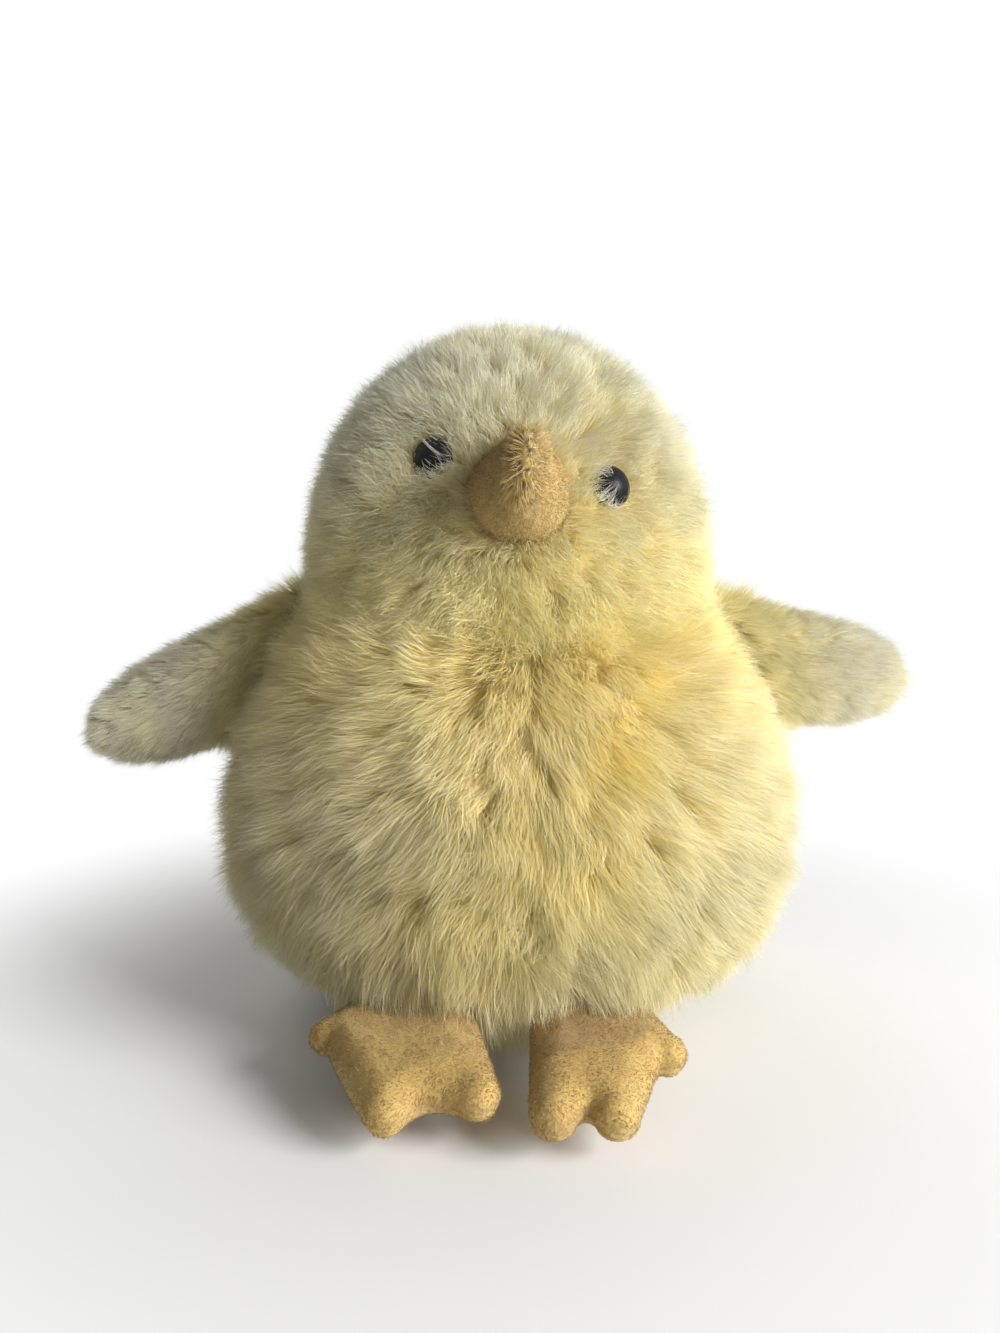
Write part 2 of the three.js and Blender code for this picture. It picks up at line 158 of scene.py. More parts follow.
def pileTree(words):  # one input for each word of a pile's dictionary
    tree = bpy.data.node_groups.new("pile", "GeometryNodeTree")
    kinds = {"Geometry": "Geometry", "steps": "Int", "seed": "Int",
             "cloth": "Material", "strands": "Material"}
    for name in ("Geometry", *words, "cloth", "strands"):
        kind = "NodeSocket" + kinds.get(name, "Float")
        tree.interface.new_socket(name=name, in_out="INPUT", socket_type=kind)
    tree.interface.new_socket(name="Geometry", in_out="OUTPUT", socket_type="NodeSocketGeometry")
    given = {s.name: s for s in tree.nodes.new("NodeGroupInput").outputs}

    def maths(operation, a, b=None):
        return put(tree, "ShaderNodeMath", a, b, operation=operation)

    def times(*terms):
        return reduce(lambda a, b: maths("MULTIPLY", a, b), terms)

    def plus(a, b):
        return maths("ADD", a, b)

    def minus(a, b):
        return maths("SUBTRACT", a, b)

    def vectors(operation, a, b=None):
        return put(tree, "ShaderNodeVectorMath", a, b, operation=operation)

    def scaled(vector, size):
        return vectors("SCALE", vector, size)

    def total(*terms):
        return reduce(lambda a, b: vectors("ADD", a, b), terms)

    def centred(noiseColour):  # noise from minus a half to a half
        return vectors("SUBTRACT", noiseColour, (0.5, 0.5, 0.5))

    def spread(value, chance):  # one, more or less
        return plus(1.0, times(chance, value))

    def named(name, kind="FLOAT"):
        return put(tree, "GeometryNodeInputNamedAttribute", name, data_type=kind)

    def namedVector(name):
        return named(name, "FLOAT_VECTOR")

    def stored(geometry, kind, **fields):
        keeper = "GeometryNodeStoreNamedAttribute"
        for name, field in fields.items():
            geometry = put(tree, keeper, geometry, None, name, field, data_type=kind)
        return geometry

    def chance(seed):
        return put(tree, "FunctionNodeRandomValue", (-1, -1, -1), (1, 1, 1), None, seed,
                   data_type="FLOAT_VECTOR")

    def parts(vector):
        return put(tree, "ShaderNodeSeparateXYZ", vector, out=None)

    place = put(tree, "GeometryNodeInputPosition")
    cover = named("pileCover")
    scatter = "GeometryNodeDistributePointsOnFaces"
    spacing = given["lockSpacing"]
    crowd = maths("DIVIDE", strandShape["locksPerSpacing"], times(spacing, spacing))
    locks, lockFacing, _ = put(tree, scatter, given["Geometry"], None, spacing, crowd, cover,
                               given["seed"], out=None, distribute_method="POISSON")
    locks = stored(locks, "FLOAT_VECTOR", lockFacing=lockFacing)
    nearest = put(tree, "GeometryNodeSampleNearest", locks, place)

    def ofLock(field):
        return put(tree, "GeometryNodeSampleIndex", locks, field, nearest, data_type="FLOAT_VECTOR")

    lockChance = ofLock(chance(strandShape["lockSeed"]))
    lockX, lockY, lockZ = parts(lockChance)
    drift = put(tree, "ShaderNodeTexNoise", place, given["flowScale"], 2.0, out=1)
    drift = scaled(centred(drift), given["flow"])
    driftX = parts(drift)[0]

    def strandsOf(density, steps, width, tall, first):  # one layer, its strands numbered up or down from zero
        roots, facing, _ = put(tree, scatter, given["Geometry"], None, times(density, cover),
                               plus(given["seed"], first), out=None, distribute_method="RANDOM")
        ownChance = chance(strandShape["ownSeed"] + first)
        ownX, ownY, ownZ = parts(ownChance)
        rise = vectors("NORMALIZE", total(facing, ofLock(namedVector("lockFacing"))))
        combed = total(namedVector("pileComb"), ofLock(namedVector("pileComb")),
                       scaled(lockChance, given["lockTurn"]), scaled(ownChance, given["ownTurn"]),
                       scaled(drift, strandShape["drift"]))
        along = scaled(rise, vectors("DOT_PRODUCT", rise, combed))
        comb = vectors("NORMALIZE", vectors("SUBTRACT", combed, along))
        stretch = times(spread(given["lengthSpread"], lockX), spread(strandShape["ownLength"], ownY))
        lean = plus(plus(named("pileLean"), driftX),
                    plus(times(lockY, given["lockLean"]), times(ownZ, given["ownLean"])))
        hold = times(plus(strandShape["lockHold"], times(lockZ, strandShape["lockHoldSpread"])),
                     plus(strandShape["ownHold"], times(ownX, strandShape["ownHoldSpread"])))
        roots = stored(roots, "FLOAT_VECTOR", root=place, rise=rise, comb=comb, chance=ownChance,
                       pull=vectors("SUBTRACT", place, ofLock(place)))
        roots = stored(roots, "FLOAT", span=times(named("pileLength"), tall, stretch),
                       lean=maths("MAXIMUM", lean, strandShape["leastLean"]), tint=ownX, lockTint=lockZ,
                       hold=times(hold, given["clump"]))
        number = plus(put(tree, "GeometryNodeInputIndex"), 1.0)
        roots = stored(roots, "INT", strand=times(number, first))

        blade = put(tree, "GeometryNodeMeshGrid", 1.0, 1.0, 2, steps)  # narrows to a point at its tip
        bladeX, bladeY, _ = parts(place)
        share = plus(bladeY, 0.5)
        blade = stored(blade, "FLOAT", across=times(bladeX, minus(1.0, times(share, share))))
        blade = stored(blade, "FLOAT", along=share)
        flat = put(tree, "ShaderNodeCombineXYZ", named("across"), named("along"))
        blade = put(tree, "GeometryNodeSetPosition", blade, None, flat)
        blade = put(tree, "GeometryNodeMergeByDistance", blade, None, strandShape["tipMerge"])
        strands = put(tree, "GeometryNodeInstanceOnPoints", roots, None, blade)
        strands = put(tree, "GeometryNodeRealizeInstances", strands)

        share, span, lean = named("along"), named("span"), named("lean")
        rise, comb, own = (namedVector(name) for name in ("rise", "comb", "chance"))
        start = times(lean, strandShape["rootLean"])
        bend = times(lean, 1 - strandShape["rootLean"])
        turn = plus(start, times(bend, share))
        scale = maths("DIVIDE", span, bend)
        height = times(scale, minus(maths("SINE", turn), maths("SINE", start)))
        reach = times(scale, minus(maths("COSINE", start), maths("COSINE", turn)))
        gather = times(named("hold"), -1.0, maths("POWER", share, strandShape["gatherPower"]))
        spot = total(namedVector("root"), scaled(rise, height), scaled(comb, reach),
                     scaled(namedVector("pull"), gather))
        swirl = put(tree, "ShaderNodeTexNoise", total(spot, scaled(own, strandShape["frizzShift"])),
                    given["frizzScale"], 1.0, out=1)
        spot = total(spot, scaled(centred(swirl), times(given["frizz"], share)))
        course = total(scaled(rise, maths("COSINE", turn)), scaled(comb, maths("SINE", turn)))
        side = total(scaled(own, given["roll"]), rise)  # the flat of a strand faces out of the cloth
        side = vectors("NORMALIZE", vectors("CROSS_PRODUCT", course, side))
        spot = total(spot, scaled(side, times(named("across"), width)))
        spotX, spotY, spotZ = parts(spot)
        spot = put(tree, "ShaderNodeCombineXYZ", spotX, spotY, maths("MAXIMUM", spotZ, given["lowest"]))
        strands = put(tree, "GeometryNodeSetPosition", strands, None, spot)
        return stored(strands, "FLOAT", along=times(named("along"), tall))

    layers = (strandsOf(given["density"], given["steps"], given["width"], 1.0, 1),
              strandsOf(given["underDensity"], 2, given["underWidth"], given["underShare"], -1))
    joined = tree.nodes.new("GeometryNodeJoinGeometry")
    for layer, finishName in ((layers[0], "strands"), (layers[1], "strands"), (given["Geometry"], "cloth")):
        finished = put(tree, "GeometryNodeSetMaterial", layer, None, given[finishName])
        tree.links.new(finished, joined.inputs[0])
    tree.links.new(joined.outputs[0], tree.nodes.new("NodeGroupOutput").inputs[0])
    return tree


pileWords = ("root", "rise", "comb", "chance", "pull", "span", "lean", "hold", "strand", "across",
             "pileCover", "pileComb", "pileLength", "pileLean")
cellMargin = 0.1


def bakeCells(mesh):  # each strand and each face of the cloth has its own cell of the map
    def values(name, kind):
        found = np.zeros(len(mesh.vertices), kind)
        mesh.attributes[name].data.foreach_get("value", found)
        return found

    corner = np.zeros(len(mesh.loops), np.int32)
    mesh.loops.foreach_get("vertex_index", corner)
    first, size = np.zeros(len(mesh.polygons), np.int32), np.zeros(len(mesh.polygons), np.int32)
    mesh.polygons.foreach_get("loop_start", first)
    mesh.polygons.foreach_get("loop_total", size)
    strand = values("strand", np.int32)[corner[first]]
    bare = strand == 0
    cell = np.where(strand > 0, strand, strand.max() - strand) - 1
    cell[bare] = strand.max() - strand.min() + np.arange(bare.sum())
    turn = np.arange(len(corner)) - np.repeat(first, size)
    near, far = cellMargin, 1 - cellMargin
    spots = np.array([(near, near), (far, near), (far, far), (near, far)])[turn % 4]
    onStrand = ~np.repeat(bare, size)
    spots[onStrand, 0] = 0.5 + (far - near) * values("across", np.float32)[corner[onStrand]]
    spots[onStrand, 1] = near + (far - near) * values("along", np.float32)[corner[onStrand]]
    cell = np.repeat(cell, size)
    columns = math.ceil(math.sqrt(cell.max() + 1))
    spots[:, 0] += cell % columns
    spots[:, 1] += cell // columns
    cells = mesh.uv_layers.new(name="OFBake")
    cells.data.foreach_set("uv", (spots / columns).astype(np.float32).ravel())


def growPile(piece, look, cloth, strands):
    modifier = piece.modifiers.new("pile", "NODES")
    modifier.node_group = pileNodes
    given = dict(look, cloth=cloth, strands=strands)
    for socket in pileNodes.interface.items_tree:
        if socket.in_out == "INPUT" and socket.name in given:
            modifier[socket.identifier] = given[socket.name]
    graph = bpy.context.evaluated_depsgraph_get()
    graph.update()
    grown = bpy.data.meshes.new_from_object(piece.evaluated_get(graph), depsgraph=graph)
    piece.modifiers.clear()
    piece.data = grown
    bakeCells(grown)
    for name in pileWords:
        grown.attributes.remove(grown.attributes[name])


# finishes

def newMaterial(name):
    material = bpy.data.materials.new(name)
    material.use_nodes = True
    material.node_tree.nodes.clear()
    return material, material.node_tree


def objectPlace(tree):  # Object coordinates
    return put(tree, "ShaderNodeTexCoord", out=3)


def newSurface(name):  # a material, and the coordinates that its patterns read
    material, tree = newMaterial(name)
    return material, objectPlace(tree)


def newGroup(name, inputs, outputs):  # a shader group for several materials, and its inputs by name
    tree = bpy.data.node_groups.new(name, "ShaderNodeTree")
    for way, sockets in (("INPUT", inputs), ("OUTPUT", outputs)):
        for word, kind in sockets.items():
            tree.interface.new_socket(name=word, in_out=way, socket_type="NodeSocket" + kind)
    return tree, {s.name: s for s in tree.nodes.new("NodeGroupInput").outputs}


def giveOut(tree, **results):
    output = tree.nodes.new("NodeGroupOutput")
    for word, value in results.items():
        tree.links.new(value, output.inputs[word])
    return tree


def groupMaterial(name, group, look):  # a material that holds the group with its own values
    material, tree = newMaterial(name)
    node = tree.nodes.new("ShaderNodeGroup")
    node.node_tree = group
    for socket in node.inputs:
        value = look[socket.name]
        socket.default_value = opaque(value) if socket.type == "RGBA" else value
    return material, {s.name: s for s in node.outputs}


def finish(material, shader):
    output = shader.id_data.nodes.new("ShaderNodeOutputMaterial")
    shader.id_data.links.new(shader, output.inputs["Surface"])
    return material


def principled(tone, **values):
    node = tone.id_data.nodes.new("ShaderNodeBsdfPrincipled")
    for name, value in dict(values, Base_Color=tone).items():
        socket = node.inputs[name.replace("_", " ")]
        if isinstance(value, bpy.types.NodeSocket):
            tone.id_data.links.new(value, socket)
        else:
            socket.default_value = value
    return node.outputs[0]


def opaque(colour):  # red, green and blue with an alpha, or a socket as it is
    return (*colour, 1) if isinstance(colour, tuple) else colour


def mixed(share, first, second):
    return put(share.id_data, "ShaderNodeMix", share, opaque(first), opaque(second), data_type="RGBA")


def ranged(value, low, high, toLow=0.0, toHigh=1.0):
    return put(value.id_data, "ShaderNodeMapRange", value, low, high, toLow, toHigh)


def maths(operation, first, second):
    return put(first.id_data, "ShaderNodeMath", first, second, operation=operation)


def noisy(place, *values):  # scale, detail and roughness
    return put(place.id_data, "ShaderNodeTexNoise", place, *values)


def streaky(place, stretch, *values):
    return noisy(put(place.id_data, "ShaderNodeMapping", place, None, None, stretch), *values)


def bumpy(height, strength, depth):
    return put(height.id_data, "ShaderNodeBump", strength, depth, None, height)


def ownValue(tree, name):  # a value that the piece carries
    return put(tree, "ShaderNodeAttribute", attribute_name=name, out=2)


def lit(tone, light):  # hue and saturation stay, and the value is scaled
    return put(tone.id_data, "ShaderNodeHueSaturation", 0.5, 1.0, light, 1.0, tone)


def fibreShader(tone, glow, **values):  # light passes through a strand by the share that glow gives
    shine = principled(tone, **values)
    through = put(tone.id_data, "ShaderNodeBsdfTranslucent", tone)
    return put(tone.id_data, "ShaderNodeMixShader", glow, shine, through)


pileShade = {  # stretches of a strand, of the noise or of chance over which each change comes in
    "middleFrom": (0.0, 0.5), "tipFrom": (0.4, 1.0), "patchFrom": (0.52, 0.72), "patchDetail": 2.0,
    "grimeFrom": (0.75, 0.8), "grime": (0.16, 0.11, 0.05),
    # the last value is painted shade: how dark the pile gets at the bottom of the body
    "ownLight": (0.88, 1.08), "lockLight": (0.93, 1.05), "lowShadeLight": (1.0, 0.86),
}


def pileColourGroup():  # golden at the root, pale at the tip, in patches and by lock, with painted shade lower down
    inputs = {"root": "Color", "middle": "Color", "tip": "Color", "golden": "Color",
              "patchScale": "Float", "patchStrength": "Float"}
    tree, given = newGroup("pileColour", inputs, {"colour": "Color"})
    along, tint, lockTint = (ownValue(tree, name) for name in ("along", "tint", "lockTint"))
    gold, grime, lowShade = (ownValue(tree, name) for name in ("gold", "grime", "lowShade"))
    patch = noisy(objectPlace(tree), given["patchScale"], pileShade["patchDetail"])
    patch = maths("MULTIPLY", ranged(patch, *pileShade["patchFrom"]), given["patchStrength"])
    low = mixed(ranged(along, *pileShade["middleFrom"]), given["root"], given["middle"])
    colour = mixed(ranged(along, *pileShade["tipFrom"]), low, given["tip"])
    colour = mixed(maths("MAXIMUM", patch, gold), colour, given["golden"])
    grime = maths("MULTIPLY", grime, ranged(tint, *pileShade["grimeFrom"]))
    colour = mixed(grime, colour, pileShade["grime"])
    light = maths("MULTIPLY", ranged(tint, -1.0, 1.0, *pileShade["ownLight"]),
                  ranged(lockTint, -1.0, 1.0, *pileShade["lockLight"]))
    # painted shade: strands darker towards the bottom of the body
    light = maths("MULTIPLY", light, ranged(lowShade, 0.0, 1.0, *pileShade["lowShadeLight"]))
    return giveOut(tree, colour=lit(colour, light))


pileColour = pileColourGroup()


def pileMaterial(name, look):
    material, found = groupMaterial(name, pileColour, look)
    shader = fibreShader(found["colour"], look["glow"], Roughness=0.65, Specular_IOR_Level=0.35)
    return finish(material, shader)


knit = {"weaveScale": 1400.0, "weaveFrom": (0.0, 0.6), "weaveStrength": 0.35,
        "blotchScale": 120.0, "blotchFrom": (0.35, 0.65), "bump": 0.5, "depth": 0.0004}


def knitGroup():  # knitted backing under the pile
    inputs = {"colour": "Color", "shade": "Color"}
    tree, given = newGroup("knit", inputs, {"colour": "Color", "normal": "Vector"})
    place = objectPlace(tree)
    weave = put(tree, "ShaderNodeTexVoronoi", place, knit["weaveScale"])
    blotch = noisy(place, knit["blotchScale"], 3.0)
    tone = mixed(ranged(blotch, *knit["blotchFrom"]), given["colour"], given["shade"])
    tone = mixed(ranged(weave, *knit["weaveFrom"], 0.0, knit["weaveStrength"]), tone, given["shade"])
    return giveOut(tree, colour=tone, normal=bumpy(weave, knit["bump"], knit["depth"]))


knitWeave = knitGroup()


def clothMaterial(name, colour, shade):
    material, found = groupMaterial(name, knitWeave, {"colour": colour, "shade": shade})
    return finish(material, principled(found["colour"], Roughness=0.9, Normal=found["normal"]))


# body: an egg of long pile cut in two side panels and a base

egg = {
    "bellyRadius": 51.1, "bellyHeight": 34.5, "drop": 35.0, "rise": 43.19, "fullness": 3.0, "depth": 0.94,
    "pile": 4.9, "backing": 1.0, "baseSeam": 6.5, "neck": 66.7, "seam": 0.3, "fill": 0.85,
    "across": 56, "up": 44, "chest": (8.0, -42.0, 58.0), "hang": 0.3, "calm": 30.0,
    "length": 8.4, "lean": 1.22, "lowLength": 7.0, "lowLean": 1.35, "lowHeight": 30.0, "lowFade": 20.0,
    # painted shade: the height below which the pile is darkened, and over how far it comes in
    "lowShade": 52.0, "lowShadeFade": 20.0, "neckPile": -0.4, "neckReach": 11.0, "neckRise": 1.5,
    "neckLength": 8.0, "neckLean": 1.15, "neckHang": 14.0, "partHalf": 20.0, "sideHang": 0.8,
}
bodyPile = {
    "density": 5.5e6, "steps": 4, "width": 0.00011, "underDensity": 21.0e6, "underWidth": 0.00012,
    "underShare": 0.8, "lockSpacing": 0.0036, "clump": 0.22, "lockTurn": 0.9, "ownTurn": 0.9,
    "lockLean": 0.1, "ownLean": 0.18, "lengthSpread": 0.14, "frizz": 0.0042, "frizzScale": 300.0,
    "flow": 0.85, "flowScale": 60.0, "roll": 0.5, "lowest": 0.0003, "seed": 3,
}
basePile = dict(bodyPile, density=4.0e6, underDensity=6.0e6, steps=3, clump=0.3, seed=5)
bodyLook = {"root": (0.95, 0.84, 0.41), "middle": (0.95, 0.87, 0.52), "tip": (0.93, 0.885, 0.69),
            "golden": (0.99, 0.85, 0.31), "patchScale": 34.0, "patchStrength": 0.28, "glow": 0.45}
pileNodes = pileTree(bodyPile)
bodyStrands = pileMaterial("body_pile_strands", bodyLook)
bodyCloth = clothMaterial("body_pile_cloth", (0.92, 0.81, 0.42), (0.88, 0.74, 0.34))


def bodyRadius(height, inset):
    height = np.asarray(height, float)
    climb = (height - egg["bellyHeight"]) / egg["rise"]
    upper = egg["bellyRadius"] * np.sqrt(np.maximum(0, 1 - climb ** 2)) - inset
    drop = bounded((egg["bellyHeight"] - height) / (egg["drop"] - inset))
    lower = (egg["bellyRadius"] - inset) * (1 - drop ** egg["fullness"]) ** (1 / egg["fullness"])
    return np.where(height >= egg["bellyHeight"], upper, lower)


def bodySkin(height):  # radius of the cloth, sunk under the tips of the pile and raised at the neck
    below = egg["neck"] - np.asarray(height, float)
    share = bounded(1 - below / (egg["neckRise"] * egg["neckReach"])) ** 2
    return bodyRadius(height, blend(egg["pile"], egg["neckPile"], share))


def bodyNormals(angle, height):
    step = 0.05
    slope = (bodySkin(height + step) - bodySkin(height - step)) / (2 * step)
    return unit(np.stack([np.cos(angle), np.sin(angle) / egg["depth"], -slope], -1))


# pile is combed away from a source and down, and only down close to it
def combFrom(points, normals, source, hang, calm):
    away = points - np.array(source)
    away = away / np.maximum(np.linalg.norm(away, axis=1, keepdims=True), calm)
    loose = 1 - np.linalg.norm(away, axis=1)
    away[:, 2] -= hang + loose
    return alongCloth(away, normals)


def drawnTo(pile, normals, share, comb, length, lean):  # comb, length and lean of pile, moved on by a share
    return (alongCloth(blend(pile[0], comb, share[:, None]), normals),
            blend(pile[1], length, share), blend(pile[2], lean, share))


def nearSeams(points, names, look):
    found = np.zeros(len(points))
    for name in names:
        middle, axis = np.array(joints[name]["pos_m"]) / mm, np.array(joints[name]["axis"])
        along = np.clip((points - middle) @ axis, -look["half"], look["half"])
        away = np.linalg.norm(points - middle - np.outer(along, axis), axis=1)
        found = np.maximum(found, bounded(1 - (away - look["near"]) / look["fade"]))
    return found


shoulder = {"half": 12.0, "near": 5.0, "fade": 7.0, "length": 7.6, "headLength": 5.5, "lean": 0.85,
            "lift": 0.15}


def toShoulder(points, normals, pile, length):  # pile there stands out sideways and fills the crease
    share = nearSeams(points, ("left_wing_seam", "right_wing_seam"), shoulder)
    level = np.zeros(len(points))
    outward = np.stack([np.sign(points[:, 0]), level, level + shoulder["lift"]], -1)
    return drawnTo(pile, normals, share, outward, length, shoulder["lean"])


ankle = {"half": 7.0, "near": 9.0, "fade": 6.0, "length": 9.5, "lean": 0.85, "toward": (0.0, -0.6, -0.8)}


def toAnkle(points, normals, pile):  # pile there hangs out over the roots of the feet
    share = nearSeams(points, ("left_foot_seam", "right_foot_seam"), ankle)
    return drawnTo(pile, normals, share, np.array(ankle["toward"]), ankle["length"], ankle["lean"])


def toNeck(points, normals, pile, look):  # pile beside the neck seam lies round the neck and fills the crease
    share = bounded(1 - np.abs(points[:, 2] - egg["neck"]) / egg["neckReach"])
    aside = np.tanh(((points[:, 0] - egg["chest"][0]) / egg["partHalf"]) ** 3)
    hang = -look["neckHang"] * (1 - egg["sideHang"] * np.abs(aside))
    sideways = unit(np.stack([-points[:, 1] * aside, points[:, 0] * aside, hang], -1))
    return drawnTo(pile, normals, share, sideways, look["neckLength"], look["neckLean"])


goldSpots = (  # middle, reach and strength of each patch where the golden ground shows
    ((21, -24, 70), 8, 0.7), ((13.5, -38.5, 55), 4.5, 0.6), ((14.5, -39.5, 51), 5, 0.9),
    ((0, -28, 72), 5, 0.3), ((0, -28, 67), 6, 0.4), ((14, -21, 101), 7, 0.25), ((12, -27, 86), 7, 0.3),
    ((7, -42, 37), 14, 0.5), ((-6, -42, 28), 12, 0.5), ((-12, -26, 66), 5, 0.4), ((30, -16, 63), 7, 0.5),
    ((-30, -16, 76), 12, 0.35), ((31, -14, 76), 12, 0.25),
)
throatGold = {"onHead": 0.65, "onBody": 0.36, "up": 22, "down": 13, "round": 0.85, "backFade": 120,
              "half": 46, "sideFade": 4}
bellyGold = {"strength": 0.16, "half": 24, "frontFade": 35}
grimeSpots = (  # middle and reach of each dark speck
    ((-8, -27, 69), 0.9), ((8, -41, 41), 1.3), ((6, -41, 41), 1.0),
    ((10, -41, 23), 1.0), ((30, -31, 20), 1.0),
)


def distanceTo(points, place):
    return np.linalg.norm(points - np.array(place), axis=1)


def goldAt(points):
    found = np.zeros(len(points))
    for place, reach, strength in goldSpots:
        found = np.maximum(found, strength * np.exp(-(distanceTo(points, place) / reach) ** 2))
    above = points[:, 2] - egg["neck"]
    reach = np.where(above > 0, throatGold["up"], throatGold["down"])
    throat = np.where(above > 0, throatGold["onHead"], throatGold["onBody"]) * np.exp(-(above / reach) ** 2)
    throat *= bounded(throatGold["round"] - points[:, 1] / throatGold["backFade"])
    throat *= bounded((throatGold["half"] - np.abs(points[:, 0])) / throatGold["sideFade"])
    belly = bellyGold["strength"] * np.exp(-((points[:, 0] - egg["chest"][0]) / bellyGold["half"]) ** 2)
    belly = belly * bounded(-points[:, 1] / bellyGold["frontFade"]) * (above < 0)
    return np.maximum(found, np.maximum(throat, belly))


def grimeAt(points):
    found = np.zeros(len(points))
    for place, reach in grimeSpots:
        found = np.maximum(found, bounded(2 - distanceTo(points, place) / (2 * reach)))
    return found


def furnish(piece, pile, cover, gold=0):  # what the pile reads; none grows on the back of the cloth
    comb, length, lean = pile
    places = np.array([vertex.co for vertex in piece.data.vertices]) / mm
    keepValues(piece, "gold", np.maximum(goldAt(places), gold))
    keepValues(piece, "grime", grimeAt(places))
    # painted shade: how far below the chest the pile is darkened
    keepValues(piece, "lowShade", bounded((egg["lowShade"] - places[:, 2]) / egg["lowShadeFade"]))
    keepValues(piece, "pileCover", np.concatenate([cover, np.zeros(len(places) - len(comb))]))
    keepValues(piece, "pileComb", np.vstack([comb, comb]))
    keepValues(piece, "pileLength", np.concatenate([length, length]) * mm)
    keepValues(piece, "pileLean", np.concatenate([lean, lean]))


for side, name in ((1, "left"), (-1, "right")):
    heights = np.linspace(egg["baseSeam"] + egg["seam"] / 2, egg["neck"] - egg["seam"] / 2, egg["up"])
    angles = np.linspace(-math.pi / 2, math.pi / 2, egg["across"])
    angle, height = np.meshgrid(angles, heights)
    radius = bodySkin(height)
    points = np.stack([side * (radius * np.cos(angle) + egg["seam"] / 2),
                       egg["depth"] * radius * np.sin(angle), height], -1).reshape(-1, 3)
    normals = (bodyNormals(angle, height) * np.array([side, 1, 1])).reshape(-1, 3)
    faces = gridFaces(egg["up"], egg["across"])
    if side < 0:
        faces = [face[::-1] for face in faces]
    cover = meshPiece(f"body_{name}_cover", *shell(points, normals, faces, egg["backing"]))
    low = bounded((egg["lowHeight"] - points[:, 2]) / egg["lowFade"])
    pile = (combFrom(points, normals, egg["chest"], egg["hang"], egg["calm"]),
            blend(egg["length"], egg["lowLength"], low), blend(egg["lean"], egg["lowLean"], low))
    pile = toNeck(points, normals, pile, egg)
    pile = toShoulder(points, normals, pile, shoulder["length"])
    pile = toAnkle(points, normals, pile)
    furnish(cover, pile, np.ones(len(points)))
    growPile(cover, dict(bodyPile, seed=bodyPile["seed"] + side), bodyCloth, bodyStrands)
    wear(cover, "body", f"body_{name}_panel")

base = {"radius": 19.8, "middle": 0.02, "rings": 14, "around": 48, "length": 6.0, "lean": 1.45}
reach = np.linspace(base["middle"], 1, base["rings"]) * base["radius"]
drop = (1 - (reach / (egg["bellyRadius"] - egg["pile"])) ** egg["fullness"]) ** (1 / egg["fullness"])
sink = egg["bellyHeight"] - (egg["drop"] - egg["pile"]) * drop
angles = np.linspace(0, 2 * math.pi, base["around"], endpoint=False)
points = ringPoints(reach, egg["depth"] * reach, sink, angles)
normals = np.tile((0.0, 0.0, -1.0), (len(points), 1))
faces = [face[::-1] for face in gridFaces(base["rings"], base["around"], closed=True)]
faces.append(list(range(base["around"])))
cover = meshPiece("base_cover", *shell(points, normals, faces, egg["backing"]))
level = np.ones(len(points))
furnish(cover, (unit(points * np.array([1, 1, 0])), base["length"] * level, base["lean"] * level), level)
growPile(cover, basePile, bodyCloth, bodyStrands)
wear(cover, "body", "base_panel")
print("body covers", pieceCount)


# head: an upright ellipsoid with two cheeks and a gusset over the crown

head = {
    "radius": 36.3, "half": 39.9, "height": 80.5, "depth": 0.94, "pile": 4.0, "skin": 3.2, "backing": 1.0,
    "roll": 9.0, "gussetHalf": 10.0, "gussetFoot": 10.61, "around": 108, "up": 72, "fill": 0.85,
    "length": 4.8, "lean": 0.95, "hang": 0.25, "calm": 1.0, "neckPile": -0.4, "neckFade": 12.0,
    "neckLength": 7.4, "neckLean": 1.2, "neckHang": 60.0,
}
headPile = dict(
    bodyPile, density=8.2e6, width=0.0001, underDensity=24.0e6, underWidth=0.00011, lockSpacing=0.0026,
    lockTurn=1.5, ownTurn=1.9, lockLean=0.15, ownLean=0.25, lengthSpread=0.15, frizz=0.0036, frizzScale=420.0,
    flow=0.4, flowScale=80.0, lowest=0.0, seed=11,
)
headLook = {"root": (0.87, 0.74, 0.4), "middle": (0.86, 0.83, 0.59), "tip": (0.85, 0.85, 0.79),
            "golden": (0.98, 0.88, 0.4), "patchScale": 40.0, "patchStrength": 0.17, "glow": 0.45}
headStrands = pileMaterial("head_pile_strands", headLook)
headCloth = clothMaterial("head_pile_cloth", (0.85, 0.72, 0.4), (0.78, 0.62, 0.28))
headCentre = Vector((0, 0, head["height"]))
headTurn = Matrix.Rotation(math.radians(head["roll"]), 3, "Y")


def faceDirection(azimuth, elevation):
    turn, rise = math.radians(azimuth), math.radians(elevation)
    level = math.cos(rise)
    return headTurn @ Vector((math.sin(turn) * level, -math.cos(turn) * level, math.sin(rise)))


def faceDistance(direction, inset):
    across = head["radius"] - inset
    return 1 / math.hypot(direction.x / across, direction.y / (across * head["depth"]),
                          direction.z / (head["half"] - inset))


def faceFrame(direction, inset):  # a place on the head with its Z pointing outwards
    across = (headTurn @ Vector((0, 0, 1))).cross(direction).normalized()
    rise = direction.cross(across)
    found = Matrix((across, rise, direction)).transposed().to_4x4()
    found.translation = headCentre + direction * faceDistance(direction, inset)
    return found


